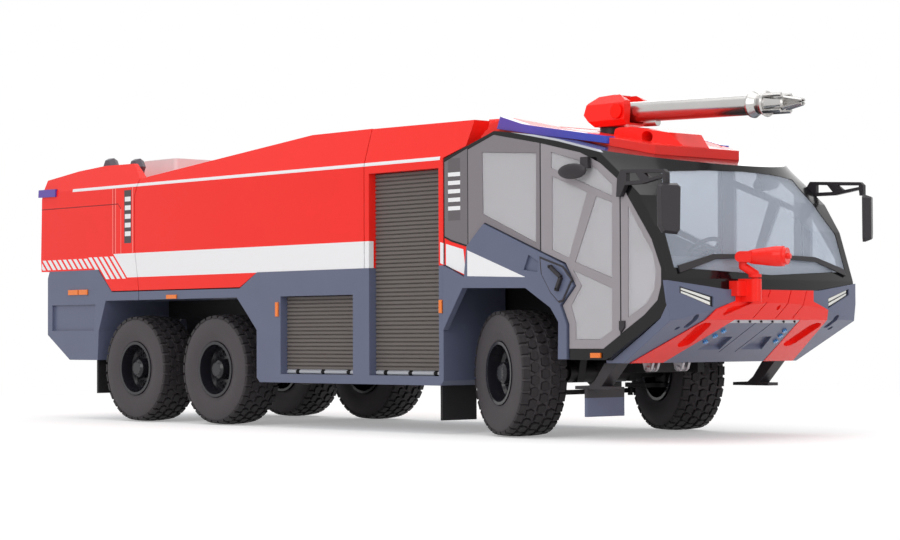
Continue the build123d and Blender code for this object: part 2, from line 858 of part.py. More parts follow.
door_windows = [
    ahead([(16.8, 70.4), (26.0, 67.9), (32.0, 65.6), (37.4, 61.5), (37.4, 58.6), (16.8, 66.5)]),
    ahead([(17.1, 64.5), (29.1, 60.0), (22.8, 44.2), (17.0, 46.4)]),
    ahead([(32.1, 58.9), (37.4, 57.2), (37.2, 39.1), (24.9, 43.2)]),
    ahead(
        [
            (24.2, 41.3),
            (27.0, 37.4),
            (23.4, 32.6),
            (25.0, 28.4),
            (25.0, 24.4),
            (33.1, 24.4),
            (37.2, 26.6),
            (37.2, 36.7),
        ]
    ),
]
front_quarter_window = ahead(
    [(42.6, 56.0), (50.4, 44.8), (51.4, 40.6), (50.9, 36.2), (48.5, 33.0), (42.4, 29.6)]
)
windscreen_half = [
    # distance in from the body's side, drawn height
    (2.6, 41.2),
    (2.5, 50.5),
    (10.1, 64.6),
    (22.6, 65.2),
]
windscreen_foot_z = level(39.8)
windscreen_left = [(body_half_width - y, level(z)) for y, z in windscreen_half]
windscreen_outline = [
    (0, windscreen_foot_z),
    *windscreen_left,
    (0, level(65.4)),
    *[(-y, z) for y, z in reversed(windscreen_left)],
]
windscreen_back_x = front_axle_x + 30.0
windscreen_reach = front_overhang


def through_sides(outline, margin=0.0):
    """A side-view outline run through both side walls of the cab, grown by margin."""
    with BuildPart() as tool:
        for side in (-1, 1):
            with BuildSketch(Plane.XZ.offset(-side * (cab_half_width - cab_wall))):
                Polygon(*outline, align=None)
                if margin:
                    offset(amount=margin, kind=Kind.INTERSECTION)
            extrude(amount=-side * (cab_wall + 2))
    return tool.part


with BuildPart() as windscreen_tool:
    with BuildSketch(Plane.YZ.offset(windscreen_back_x)):
        Polygon(*windscreen_outline, align=None)
    extrude(amount=windscreen_reach)

panel_outlines = [quarter_outline, rear_panel_outline, door_outline, front_quarter_outline]
with BuildPart() as cab_frame:
    add(cab_shell.part)
    for outline in panel_outlines:
        add(through_sides(outline, fit_gap), mode=Mode.SUBTRACT)
    add(through_sides(fender_outline, fender_gap), mode=Mode.SUBTRACT)
    add(through_sides(white_patch_outline, fit_gap), mode=Mode.SUBTRACT)
    add(windscreen_tool.part, mode=Mode.SUBTRACT)
save(cab_frame.part, "cab_frame")

panel_sets = [
    # name, outline, windows
    ("rear_quarter_panels", quarter_outline, []),
    ("rear_side_panels", rear_panel_outline, [rear_window]),
    ("doors", door_outline, door_windows),
    ("front_quarter_panels", front_quarter_outline, [front_quarter_window]),
]
for name, outline, windows in panel_sets:
    with BuildPart() as panel:
        add(cab_shell.part)
        add(through_sides(outline), mode=Mode.INTERSECT)
        for window in windows:
            add(through_sides(window), mode=Mode.SUBTRACT)
    save(panel.part, name)

glass_sets = [
    ("rear_side_glass", [rear_window]),
    ("door_glass", door_windows),
    ("front_quarter_glass", [front_quarter_window]),
]
for name, windows in glass_sets:
    panes = []
    for window in windows:
        with BuildPart() as pane:
            add(glass_shell.part)
            add(through_sides(window, -fit_gap), mode=Mode.INTERSECT)
        panes += pane.part.solids()
    save(Compound(children=panes), name)

with BuildPart() as windscreen:
    add(glass_shell.part)
    with BuildSketch(Plane.YZ.offset(windscreen_back_x)):
        Polygon(*windscreen_outline, align=None)
        offset(amount=-fit_gap, kind=Kind.INTERSECTION)
    extrude(amount=windscreen_reach, mode=Mode.INTERSECT)
save(windscreen.part, "windscreen")

with BuildPart() as red_corners:
    add(cab_shell.part)
    add(through_sides(white_patch_outline), mode=Mode.INTERSECT)
save(red_corners.part, "rear_corner_panels")

# Fenders: thick arch pieces that stand proud of the cab's sides, each with a finger recess
handle_depth = 0.7
with BuildPart() as fenders:
    for side in (-1, 1):
        with BuildSketch(Plane.XZ.offset(-side * (body_half_width + fender_proud))):
            Polygon(*fender_outline, align=None)
        extrude(amount=side * (fender_proud + side_relief + cab_wall))
        with BuildSketch(Plane.XZ.offset(-side * (body_half_width + fender_proud))):
            Polygon(*handle_outline, align=None)
        extrude(amount=side * handle_depth, mode=Mode.SUBTRACT)
save(fenders.part, "fenders")

# Cab interior: a stepped floor, dashboard, seats and steering wheel
floor_thickness = 1.2
floor_half_width = cab_half_width - cab_wall - 0.2
floor_z = level(38.1) + cab_wall + 0.2
footwell_z = level(19.5) + cab_wall + 0.1
footwell_x = reach(20.5) + cab_wall + 0.1
footwell_front_x = reach(34.0)
floor_rear_x = cab_x + cab_wall + 0.5
with BuildPart() as cab_floor:
    with BuildSketch(Plane.XZ):
        Polygon(
            (floor_rear_x, floor_z),
            (footwell_x, floor_z),
            (footwell_x, footwell_z),
            (footwell_front_x, footwell_z),
            (footwell_front_x, footwell_z + floor_thickness),
            (footwell_x + floor_thickness, footwell_z + floor_thickness),
            (footwell_x + floor_thickness, floor_z + floor_thickness),
            (floor_rear_x, floor_z + floor_thickness),
            align=None,
        )
    extrude(amount=floor_half_width, both=True)
save(cab_floor.part, "cab_floor")

seat_floor_z = floor_z + floor_thickness
seat_width = 10.0
seat_spread = floor_half_width - 15.5
headrest_width = 6.0
seats_at = [
    # x, y
    (front_axle_x + 9.0, 0.0),
    (cab_x + 16.5, -seat_spread),
    (cab_x + 16.5, seat_spread),
]
seat_side = [
    # x from the seat's middle, height above the floor
    (-5.0, 0.0),
    (5.0, 0.0),
    (6.0, 4.0),
    (5.4, 6.0),
    (-2.0, 5.4),
    (-3.0, 9.0),
    (-4.2, 16.5),
    (-6.4, 16.5),
    (-6.0, 5.0),
]
headrest_side = [
    # x from the seat's middle, height above the floor
    (-6.2, 16.0),
    (-4.2, 16.0),
    (-4.6, 21.5),
    (-6.6, 21.5),
]
with BuildPart() as seats:
    for x, y in seats_at:
        for side_points, width in ((seat_side, seat_width), (headrest_side, headrest_width)):
            with BuildSketch(Plane.XZ.offset(-y)):
                Polygon(*[(x + along, seat_floor_z + up) for along, up in side_points], align=None)
            extrude(amount=width / 2, both=True)
save(seats.part, "seats")

with BuildPart() as dashboard:
    with BuildSketch(Plane.XZ):
        Polygon(
            *ahead([(38.0, 33.0), (38.0, 41.0), (42.0, 44.5), (50.0, 42.0), (50.0, 34.0), (46.0, 31.0)]),
            align=None,
        )
    extrude(amount=floor_half_width, both=True)
save(dashboard.part, "dashboard")

wheel_rim_radius = 4.6
wheel_tilt = radians(55)
wheel_plane = Plane(
    origin=(reach(36.0), 0, level(46.5)),
    x_dir=(0, 1, 0),
    z_dir=(-cos(wheel_tilt), 0, sin(wheel_tilt)),
)
with BuildPart() as steering_wheel:
    with BuildSketch(wheel_plane):
        Circle(wheel_rim_radius)
        Circle(wheel_rim_radius - 0.8, mode=Mode.SUBTRACT)
        Rectangle(2 * wheel_rim_radius - 0.6, 1.0)
        Circle(1.2)
    extrude(amount=0.8)
    with BuildSketch(wheel_plane):
        Circle(0.7)
    extrude(amount=-6.5)
    add(dashboard.part, mode=Mode.SUBTRACT)
save(steering_wheel.part, "steering_wheel")

# Roof plate: a red panel on the sloping roof, with raised side edges and a console before the monitor.
# In plan its sides run straight and then draw in to the narrower front edge.
swivel_x = front_axle_x + monitor_x
swivel_z = level(swivel_drawn_z)
plate_half_width = body_half_width - 2.2
coaming_y = plate_half_width - 4.4
trough_y = plate_half_width - 8.4
lip_y = plate_half_width - 16.9
plate_stations = [
    # drawn x, drawn heights of the underside, outer edge, coaming and middle, y of coaming and middle
    (-11.4, 74.2, 74.9, 75.0, 75.0, coaming_y, trough_y),
    (-10.5, 74.4, 76.2, 76.5, 76.5, coaming_y, trough_y),
    (-7.5, 75.2, 80.3, 80.8, 79.8, coaming_y, trough_y),
    (-2.4, 76.4, 79.9, 80.5, 79.1, coaming_y, trough_y),
    (34.5, 69.3, 70.9, 71.2, 72.1, coaming_y, lip_y),
]
plate_taper_x = 8.0
plate_front_x = 34.1
plate_front_y = 15.7
plate_taper = (plate_half_width - plate_front_y) / (plate_front_x - plate_taper_x)
console_side = [
    # drawn x and height
    (13.6, 74.5),
    (14.6, 77.6),
    (15.7, 78.0),
    (19.9, 77.9),
    (29.8, 76.0),
    (33.6, 72.4),
    (33.6, 70.5),
]
console_plan = [(12.0, 9.6), (24.0, 8.6), (34.0, 4.6)]
console_bore_radius = 1.5
swivel_post_radius = 1.5
swivel_post_depth = 1.0
seat_radius = swivel_radius + 0.8
with BuildPart() as roof_plate:
    for x, low_z, edge_z, coaming_z, middle_z, high_y, flat_y in plate_stations:
        with BuildSketch(Plane.YZ.offset(reach(x))):
            Polygon(
                (-plate_half_width, level(low_z)),
                (plate_half_width, level(low_z)),
                (plate_half_width, level(edge_z)),
                (high_y, level(coaming_z)),
                (flat_y, level(middle_z)),
                (-flat_y, level(middle_z)),
                (-high_y, level(coaming_z)),
                (-plate_half_width, level(edge_z)),
                align=None,
            )
    loft(ruled=True)
    with BuildSketch(Plane.XY.offset(level(60))):
        Polygon(
            (reach(-12.0), plate_half_width),
            (reach(plate_taper_x), plate_half_width),
            (reach(plate_front_x), plate_front_y),
            (reach(plate_front_x), -plate_front_y),
            (reach(plate_taper_x), -plate_half_width),
            (reach(-12.0), -plate_half_width),
            align=None,
        )
    extrude(amount=30, mode=Mode.INTERSECT)
    with BuildPart(mode=Mode.PRIVATE) as console:
        with BuildSketch(Plane.XZ):
            Polygon(*ahead(console_side), align=None)
        extrude(amount=body_half_width, both=True)
        with BuildSketch(Plane.XY.offset(level(60))):
            Polygon(
                *[(reach(x), -y) for x, y in console_plan],
                *[(reach(x), y) for x, y in reversed(console_plan)],
                align=None,
            )
        extrude(amount=30, mode=Mode.INTERSECT)
        with BuildSketch(Plane.XZ):
            with Locations((reach(24.5), level(75.0))):
                Circle(console_bore_radius)
        extrude(amount=body_half_width, both=True, mode=Mode.SUBTRACT)
    add(console.part)
    with BuildSketch(Plane.XY.offset(level(74.5))):
        with Locations((swivel_x, 0)):
            Circle(seat_radius)
    extrude(amount=swivel_z - swivel_gap - level(74.5))
    with BuildSketch(Plane.XY.offset(swivel_z - swivel_gap)):
        with Locations((swivel_x, 0)):
            Circle(swivel_post_radius + running_gap)
    extrude(amount=-swivel_post_depth - swivel_gap, mode=Mode.SUBTRACT)
    with BuildSketch(Plane.XY.offset(swivel_z - swivel_gap)):
        with Locations((swivel_x, 0)):
            Circle(seat_radius)
    extrude(amount=4.0, mode=Mode.SUBTRACT)
    add(cab_outer, mode=Mode.SUBTRACT)
save(roof_plate.part, "roof_plate")

# Beacon strips along both edges of the roof plate, bent where the plate draws in
strip_side = [
    # drawn x and height
    (-3.6, 77.6),
    (24.5, 72.7),
    (24.5, 74.5),
    (5.5, 78.2),
    (-2.4, 80.6),
]
strip_front_x = 24.5
strip_width = 3.0
strip_outer_y = plate_half_width + 1.0
strip_front_y = strip_outer_y - plate_taper * (strip_front_x - plate_taper_x)
with BuildPart() as beacon_strips:
    with BuildSketch(Plane.XZ):
        Polygon(*ahead(strip_side), align=None)
    extrude(amount=body_half_width, both=True)
    with BuildSketch(Plane.XY.offset(level(60))):
        for side in (-1, 1):
            Polygon(
                (reach(-5.0), side * strip_outer_y),
                (reach(plate_taper_x), side * strip_outer_y),
                (reach(strip_front_x), side * strip_front_y),
                (reach(strip_front_x), side * (strip_front_y - strip_width)),
                (reach(plate_taper_x), side * (strip_outer_y - strip_width)),
                (reach(-5.0), side * (strip_outer_y - strip_width)),
                align=None,
            )
    extrude(amount=30, mode=Mode.INTERSECT)
    add(roof_plate.part, mode=Mode.SUBTRACT)
    add(cab_outer, mode=Mode.SUBTRACT)
save(beacon_strips.part, "beacon_strips")

# Front bumper: a wedge with swept tips, split into the grey wings, the red middle and the grey plate.
# Its underside slopes up and forward from the sill to the lip.
sill_front_x = 38.7
lip_x = 56.0
lip_z = level(29.0)
tip_half_width = bumper_half_width - 3.1
bow = 3.5
slope_run = reach(lip_x) - reach(sill_front_x)
slope_rise = lip_z - bumper_low_z
bumper_top = [
    # distance in from the bumper's side, drawn height
    (0.0, 38.2),
    (17.7, 36.2),
]
bumper_top_left = [(bumper_half_width - y, level(z)) for y, z in bumper_top]
middle_proud = 0.4
plate_proud = 0.2


def bumper_form(grow):
    """The whole bumper's outer form, grown outwards at its front and underside."""
    with BuildPart() as form:
        with BuildSketch(Plane.XZ):
            Polygon(
                (reach(33.0), bumper_low_z),
                (reach(sill_front_x) + grow, bumper_low_z),
                (reach(lip_x) + grow, lip_z),
                (reach(59.0) + grow, level(33.0)),
                (reach(59.0) + grow, level(39.0)),
                (reach(33.0), level(39.0)),
                align=None,
            )
        extrude(amount=bumper_half_width, both=True)
        with BuildSketch(Plane.XY):
            with BuildLine():
                right_tip = (reach(59.0) - bow + grow, -bumper_half_width)
                left_tip = (reach(59.0) - bow + grow, bumper_half_width)
                ThreePointArc(right_tip, (reach(59.0) + grow, 0), left_tip)
                Polyline(
                    left_tip,
                    (reach(30.0), bumper_half_width),
                    (reach(30.0), -bumper_half_width),
                    right_tip,
                )
            make_face()
        extrude(amount=roof_z, mode=Mode.INTERSECT)
        with BuildSketch(Plane.YZ):
            Polygon(
                (-tip_half_width, bumper_low_z),
                (tip_half_width, bumper_low_z),
                (bumper_half_width, level(33.0)),
                *bumper_top_left,
                *[(-y, z) for y, z in reversed(bumper_top_left)],
                (-bumper_half_width, level(33.0)),
                align=None,
            )
        extrude(amount=cab_front_x + 10, mode=Mode.INTERSECT)
        add(cab_outer, mode=Mode.SUBTRACT)
        with BuildSketch(Plane.XZ):
            Polygon(
                (reach(20.0), bumper_low_z + 0.7),
                *ahead([(35.0, 19.4), (46.2, 25.6), (52.6, 29.3), (55.2, 32.4), (54.0, 39.2), (20.0, 39.2)]),
                align=None,
            )
        extrude(amount=cut_y, both=True, mode=Mode.SUBTRACT)
    return form.part


def slope_plane(x, y, turn):
    """A plane on the sloping underside at drawn x, its length turned towards the left side."""
    along = reach(x) - reach(sill_front_x)
    slope_length = hypot(slope_run, slope_rise)
    forward = cos(radians(turn)) / slope_length
    return Plane(
        origin=(reach(x), y, bumper_low_z + along * slope_rise / slope_run),
        x_dir=(slope_run * forward, sin(radians(turn)), slope_rise * forward),
        z_dir=(slope_rise, 0, -slope_run),
    )


def front_tool(outline):
    """A front-view outline run along the bumper's length."""
    with BuildPart() as tool:
        with BuildSketch(Plane.YZ.offset(reach(20.0))):
            Polygon(*outline, align=None)
        extrude(amount=60)
    return tool.part


def both_sides(outline):
    """A front-view outline of the left half, closed with its mirror image."""
    return [*outline, *[(-y, z) for y, z in reversed(outline)]]


middle_y = bumper_half_width - 20.8
red_region = both_sides(
    [
        (bumper_half_width - 4.2, bumper_low_z - 1),
        (bumper_half_width - 14.4, level(31.5)),
        (middle_y, level(33.5)),
        (middle_y, level(40.0)),
    ]
)
plate_region = both_sides([(bumper_half_width - 15.8, bumper_low_z - 1), (bumper_half_width - 22.9, lip_z)])
lamp_region = [
    (bumper_half_width - 13.7, level(31.9)),
    (bumper_half_width - 13.7, level(34.4)),
    (bumper_half_width - 3.6, level(36.8)),
    (bumper_half_width - 3.6, level(35.3)),
]
bumper_all = bumper_form(0)
red_tool = front_tool(red_region)
plate_tool = front_tool(plate_region)
lamp_tools = [front_tool(lamp_region), front_tool([(-y, z) for y, z in lamp_region])]
lamp_depth = 1.6
lamp_inset = 0.4
lamp_edge_x = reach(59.0) - bow - lamp_depth
with BuildPart() as lamp_slab:
    with BuildSketch(Plane.XY):
        with BuildLine():
            ThreePointArc(
                (lamp_edge_x, -bumper_half_width),
                (lamp_edge_x + bow, 0),
                (lamp_edge_x, bumper_half_width),
            )
            Polyline(
                (lamp_edge_x, bumper_half_width),
                (reach(70.0), bumper_half_width),
                (reach(70.0), -bumper_half_width),
                (lamp_edge_x, -bumper_half_width),
            )
        make_face()
    extrude(amount=roof_z)

pocket_depth = 1.2
wing_slots = [
    # drawn x, distance in from the bumper's side, length, width
    (55.0, 9.0, 5.2, 1.7),
    (52.6, 6.6, 1.6, 1.2),
]
with BuildPart() as bumper_wings:
    add(bumper_all)
    add(red_tool, mode=Mode.SUBTRACT)
    for tool in lamp_tools:
        with BuildPart(mode=Mode.PRIVATE) as pocket:
            add(tool)
            add(lamp_slab.part, mode=Mode.INTERSECT)
        add(pocket.part, mode=Mode.SUBTRACT)
    for x, inset, length, width in wing_slots:
        for side in (-1, 1):
            with BuildSketch(slope_plane(x, side * (bumper_half_width - inset), 0)):
                SlotOverall(length, width)
            extrude(amount=-pocket_depth, mode=Mode.SUBTRACT)
save(bumper_wings.part, "bumper_wings")

leg_pocket_x = 50.3
leg_pocket_y = bumper_half_width - 15.0
leg_pocket_turn = 7.8
leg_pocket_length = 11.4
leg_pocket_width = 4.6
rib_grooves = [
    # y and drawn height at the top, y and drawn height at the foot
    (-2.8, 36.3, -6.2, 29.4),
    (5.1, 36.3, 2.2, 29.4),
    (11.3, 36.3, 8.6, 29.4),
]
groove_width = 0.35
monitor_recess = [(-16.0, 35.4), (-17.4, 30.4), (-9.8, 32.3), (-7.0, 33.6), (-7.6, 35.4)]
ramp = [(-5.6, 34.7), (-17.4, 30.1), (-9.8, 30.3), (-3.1, 34.1)]
ramp_proud = 0.5
sprinkler_bore_radius = 0.6
with BuildPart() as bumper_middle:
    add(bumper_form(middle_proud))
    add(red_tool, mode=Mode.INTERSECT)
    add(plate_tool, mode=Mode.SUBTRACT)
    with BuildPart(mode=Mode.PRIVATE) as cuts:
        for top_y, top_z, foot_y, foot_z in rib_grooves:
            add(
                front_tool(
                    [
                        (top_y, level(top_z)),
                        (foot_y, level(foot_z)),
                        (foot_y + groove_width, level(foot_z)),
                        (top_y + groove_width, level(top_z)),
                    ]
                )
            )
        add(front_tool(raised(monitor_recess)))
        add(bumper_all, mode=Mode.SUBTRACT)
    add(cuts.part, mode=Mode.SUBTRACT)
    with BuildPart(mode=Mode.PRIVATE) as ramp_skin:
        add(front_tool(raised(ramp)))
        add(bumper_form(middle_proud + ramp_proud), mode=Mode.INTERSECT)
        add(bumper_all, mode=Mode.SUBTRACT)
    add(ramp_skin.part)
    for side in (-1, 1):
        pocket_plane = slope_plane(leg_pocket_x, side * leg_pocket_y, side * leg_pocket_turn)
        with BuildSketch(pocket_plane.offset(2 * middle_proud)):
            SlotOverall(leg_pocket_length, leg_pocket_width)
        extrude(amount=-pocket_depth - 2 * middle_proud, mode=Mode.SUBTRACT)
    with BuildSketch(Plane.YZ.offset(reach(59.0) - 1)):
        with Locations((1.2, level(32.0))):
            Circle(sprinkler_bore_radius)
    extrude(amount=3, mode=Mode.SUBTRACT)
save(bumper_middle.part, "bumper_middle")

plate_windows = [
    # drawn x and y of the corners
    [(44.1, 4.0), (44.1, 12.0), (49.4, 9.6), (49.4, 5.0)],
]
window_depth = 1.6
rib_y = 3.0
with BuildPart() as bumper_plate:
    add(bumper_form(plate_proud))
    add(plate_tool, mode=Mode.INTERSECT)
    with BuildPart(mode=Mode.PRIVATE) as openings:
        for window in plate_windows:
            for side in (-1, 1):
                with BuildSketch(Plane.XY.offset(bumper_low_z - 1)):
                    Polygon(*[(reach(x), side * y) for x, y in window], align=None)
                extrude(amount=30)
        add(bumper_form(-window_depth), mode=Mode.SUBTRACT)
    add(openings.part, mode=Mode.SUBTRACT)
    with BuildPart(mode=Mode.PRIVATE) as rib_lines:
        for y in (-rib_y, rib_y):
            with BuildSketch(Plane.XY.offset(bumper_low_z - 1)):
                with Locations((reach(49.0), y)):
                    Rectangle(12.0, groove_width)
            extrude(amount=30)
        add(bumper_form(-plate_proud), mode=Mode.SUBTRACT)
    add(rib_lines.part, mode=Mode.SUBTRACT)
save(bumper_plate.part, "bumper_plate")

with BuildPart() as headlights:
    for tool in lamp_tools:
        with BuildPart(mode=Mode.PRIVATE) as lamp:
            add(bumper_form(-lamp_inset))
            add(tool, mode=Mode.INTERSECT)
            add(lamp_slab.part, mode=Mode.INTERSECT)
        add(lamp.part)
save(headlights.part, "headlights")

# Mirrors: an open arm that leans out from each front pillar, and a turned head below its end.
# Arm and head outlines run along their own plane from the arm's root or the head's middle.
arm_root = (reach(40.6), cab_half_width + 0.6)
arm_tip = (reach(57.8), cab_half_width + 2.3)
arm_outline = [
    # along the arm, z
    (-0.8, 58.3),
    (-0.4, 62.9),
    (1.0, 64.7),
    (16.0, 63.9),
    (16.9, 63.1),
    (16.9, 60.5),
    (15.8, 60.5),
    (15.6, 62.0),
    (8.4, 60.9),
    (2.4, 60.9),
    (0.6, 58.3),
]
arm_openings = [
    [(2.9, 63.8), (6.2, 63.6), (7.8, 61.8), (2.9, 61.8)],
    [(9.2, 63.4), (15.6, 63.1), (15.6, 62.7), (11.0, 62.1)],
]
arm_thickness = 1.2
head_outline = [
    # across the head, z
    (-1.9, 60.6),
    (2.2, 60.6),
    (2.8, 59.9),
    (2.7, 50.7),
    (1.7, 49.1),
    (-1.8, 48.7),
    (-2.6, 49.7),
    (-2.8, 59.8),
]
head_turn = (-2.5, 4.05)
head_halves = [
    # facing ahead or back, depth, taper
    (1, 1.5, 20),
    (-1, 0.7, 0),
]
with BuildPart() as mirrors:
    for side in (-1, 1):
        run = (arm_tip[0] - arm_root[0], side * (arm_tip[1] - arm_root[1]))
        arm_plane = Plane(
            origin=(arm_root[0], side * arm_root[1], 0),
            x_dir=(run[0], run[1], 0),
            z_dir=(run[1], -run[0], 0),
        )
        with BuildSketch(arm_plane):
            Polygon(*raised(arm_outline), align=None)
            for opening in arm_openings:
                Polygon(*raised(opening), align=None, mode=Mode.SUBTRACT)
        extrude(amount=arm_thickness / 2, both=True)
        add(cab_form(0), mode=Mode.SUBTRACT)
        for facing, depth, taper in head_halves:
            normal = (facing * head_turn[1], -facing * side * head_turn[0], 0)
            head_plane = Plane(
                origin=(arm_tip[0], side * arm_tip[1], 0),
                x_dir=(-normal[1], normal[0], 0),
                z_dir=normal,
            )
            outline = [(side * facing * across, z) for across, z in raised(head_outline)]
            with BuildSketch(head_plane):
                Polygon(*outline, align=None)
            extrude(amount=depth, taper=taper)
save(mirrors.part, "mirrors")

# Wipers across the windscreen's foot
wiper_outer_y = body_half_width - 3.6
wiper_gap = 0.1
wiper_skin_depth = 0.45
with BuildPart() as wipers:
    for side in (-1, 1):
        with BuildSketch(Plane.YZ.offset(reach(52.0))):
            Polygon(
                (side * wiper_outer_y, level(40.0)),
                (side * wiper_outer_y, level(41.7)),
                (side * (wiper_outer_y - 12), level(44.6)),
                (side * (wiper_outer_y - 27), level(44.9)),
                (side * (wiper_outer_y - 27), level(43.9)),
                (side * (wiper_outer_y - 12.4), level(43.4)),
                align=None,
            )
        extrude(amount=7.5)
    add(cab_form(-wiper_gap), mode=Mode.SUBTRACT)
    with BuildPart(mode=Mode.PRIVATE) as wiper_skin:
        add(cab_form(-wiper_gap - wiper_skin_depth))
    add(wiper_skin.part, mode=Mode.INTERSECT)
save(wipers.part, "wipers")

# Steps under the cab, with a plate that hangs under the right one, and mud flaps
step_y = body_half_width - 7.3
step_width = 4.0
step_low_z = 12.3
hanger_x = reach(25.4)
hanger_y = step_y - 2.3
hanger_width = 13.0
hanger_thickness = 1.0
hanger_low_z = 5.6
hanger_lap = 0.4
with BuildPart() as cab_steps:
    for side in (-1, 1):
        with BuildSketch(Plane.XZ.offset(-side * step_y)):
            Polygon(
                (reach(31.5), bumper_low_z),
                (reach(35.7), bumper_low_z),
                (reach(30.4), 13.1),
                (reach(33.3), 13.1),
                (reach(33.3), step_low_z),
                (reach(21.5), step_low_z),
                (reach(21.5), 13.1),
                (reach(26.5), 13.3),
                (reach(28.3), 14.6),
                align=None,
            )
        extrude(amount=-side * step_width)
    with Locations((hanger_x, -hanger_y, hanger_low_z)):
        Box(
            hanger_thickness,
            hanger_width,
            step_low_z + hanger_lap - hanger_low_z,
            align=(Align.CENTER, Align.CENTER, Align.MIN),
        )
save(cab_steps.part, "cab_steps")

flap_thickness = 0.8
flap_inner_y = body_half_width - 13.1
flap_outer_y = body_half_width - 1.1
flaps = [
    # x, low z, top z
    (rear_arch_x - 6.0, 8.2, rear_box_low_z),
    (cab_x - 2.2, 3.6, skirt_low_z),
]
with BuildPart() as mud_flaps:
    for x, low_z, top_z in flaps:
        for side in (-1, 1):
            with Locations((x, side * (flap_inner_y + flap_outer_y) / 2, (low_z + top_z) / 2)):
                Box(flap_thickness, flap_outer_y - flap_inner_y, top_z - low_z)
save(mud_flaps.part, "mud_flaps")

# Roof monitor: a black swivel, the red faceted housing and the barrel between its cheeks
housing_low_z = swivel_z + swivel_height
housing_x = swivel_x - 5.2
housing_front_x = housing_x + housing_length
pivot_x = housing_front_x - 2.6
pivot_z = housing_low_z + 3.5
pivot_radius = 0.8
trunnion_disc_radius = 1.9
slot_half_width = barrel_radius + toy_gap
with BuildPart() as monitor_swivel:
    with BuildSketch(Plane.XY.offset(swivel_z)):
        with Locations((swivel_x, 0)):
            Circle(swivel_radius)
    extrude(amount=swivel_height)
    with BuildSketch(Plane.XY.offset(swivel_z)):
        with Locations((swivel_x, 0)):
            Circle(swivel_post_radius)
    extrude(amount=-swivel_post_depth)
save(monitor_swivel.part, "monitor_swivel")

housing_side = [
    # x from the housing's rear, height above its underside
    (0.0, 3.2),
    (2.9, 0.0),
    (14.2, 0.0),
    (14.6, 5.2),
    (14.4, 6.2),
    (10.6, 8.2),
    (3.6, 7.9),
    (1.2, 6.2),
]
housing_front = [
    # y, height above the underside
    (4.2, 0.0),
    (housing_half_width, 1.4),
    (housing_half_width, 5.7),
    (2.9, 8.2),
]
with BuildPart() as monitor_housing:
    with BuildSketch(Plane.XZ):
        Polygon(*[(housing_x + x, housing_low_z + z) for x, z in housing_side], align=None)
    extrude(amount=housing_half_width, both=True)
    with BuildSketch(Plane.YZ.offset(housing_x - 1)):
        Polygon(*both_sides([(y, housing_low_z + z) for y, z in housing_front]), align=None)
    extrude(amount=housing_length + 2, mode=Mode.INTERSECT)
    with Locations((pivot_x - barrel_radius - toy_gap, 0, housing_low_z + 0.5)):
        Box(20, 2 * slot_half_width, 20, align=(Align.MIN, Align.CENTER, Align.MIN), mode=Mode.SUBTRACT)
    with BuildSketch(Plane.XZ):
        with Locations((pivot_x, pivot_z)):
            Circle(pivot_radius + running_gap)
    extrude(amount=housing_half_width + 1, both=True, mode=Mode.SUBTRACT)
save(monitor_housing.part, "monitor_housing")

# Barrel: a plated tube that turns about a ball, with a waisted collar, four prongs and crossed blades
collar_x = pivot_x + barrel_length
collar_profile = [
    # distance ahead of the collar's rear, radius
    (0.0, 3.2),
    (0.5, 3.3),
    (2.2, 2.4),
    (2.8, 2.4),
    (4.6, 3.2),
    (5.0, 2.9),
    (5.0, 2.4),
    (10.0, 1.7),
    (10.3, 1.2),
]
prong_radius = 2.75
prong_count = 4
blade_outline = [
    # distance ahead of the collar's rear, distance from the axis
    (8.0, -2.0),
    (10.5, -2.1),
    (nozzle_length, -0.9),
    (nozzle_length, -0.5),
    (12.0, 0.0),
    (nozzle_length, 0.5),
    (nozzle_length, 0.9),
    (10.5, 2.1),
    (8.0, 2.0),
]
blade_thickness = 0.7
coil_at = (7.2, -2.9)
coil_length = 4.2
with BuildPart() as barrel_straight:
    with BuildSketch(Plane.XZ):
        with BuildLine():
            ThreePointArc(
                (pivot_x - barrel_radius, pivot_z),
                (pivot_x - barrel_radius * cos(radians(45)), pivot_z + barrel_radius * sin(radians(45))),
                (pivot_x, pivot_z + barrel_radius),
            )
            Polyline(
                (pivot_x, pivot_z + barrel_radius),
                (collar_x, pivot_z + barrel_radius - 0.1),
                *[(collar_x + x, pivot_z + radius) for x, radius in collar_profile],
                (collar_x + 10.3, pivot_z),
                (pivot_x - barrel_radius, pivot_z),
            )
        make_face()
    revolve(axis=Axis((pivot_x, 0, pivot_z), (1, 0, 0)))
    for prong in range(prong_count):
        turn = radians(45 + prong * 360 / prong_count)
        with BuildSketch(
            Plane(origin=(collar_x + 4.0, 0, pivot_z), x_dir=(0, cos(turn), sin(turn)), z_dir=(1, 0, 0))
        ):
            with Locations((prong_radius, 0)):
                Rectangle(0.6, 0.9)
        extrude(amount=6.4)
    for turn in (45, 135):
        blade_plane = Plane(
            origin=(collar_x, 0, pivot_z),
            x_dir=(1, 0, 0),
            z_dir=(0, cos(radians(turn)), sin(radians(turn))),
        )
        with BuildSketch(blade_plane):
            Polygon(*blade_outline, align=None)
        extrude(amount=blade_thickness / 2, both=True)
    with BuildSketch(Plane.XZ):
        with Locations((pivot_x, pivot_z)):
            Circle(pivot_radius)
    extrude(amount=housing_half_width - 0.1, both=True)
    for side in (-1, 1):
        with BuildSketch(Plane.XZ.offset(-side * (housing_half_width + 0.1))):
            with Locations((pivot_x, pivot_z)):
                Circle(trunnion_disc_radius)
        extrude(amount=-side * 0.6)
        with BuildSketch(Plane.XZ.offset(-side * (housing_half_width - 0.2))):
            with Locations((pivot_x, pivot_z)):
                Circle(pivot_radius)
        extrude(amount=-side * 0.4)
    with BuildSketch(Plane.YZ.offset(pivot_x + coil_at[0] - coil_length / 2)):
        with Locations((0, pivot_z + coil_at[1])):
            Circle(1.0)
    extrude(amount=coil_length)
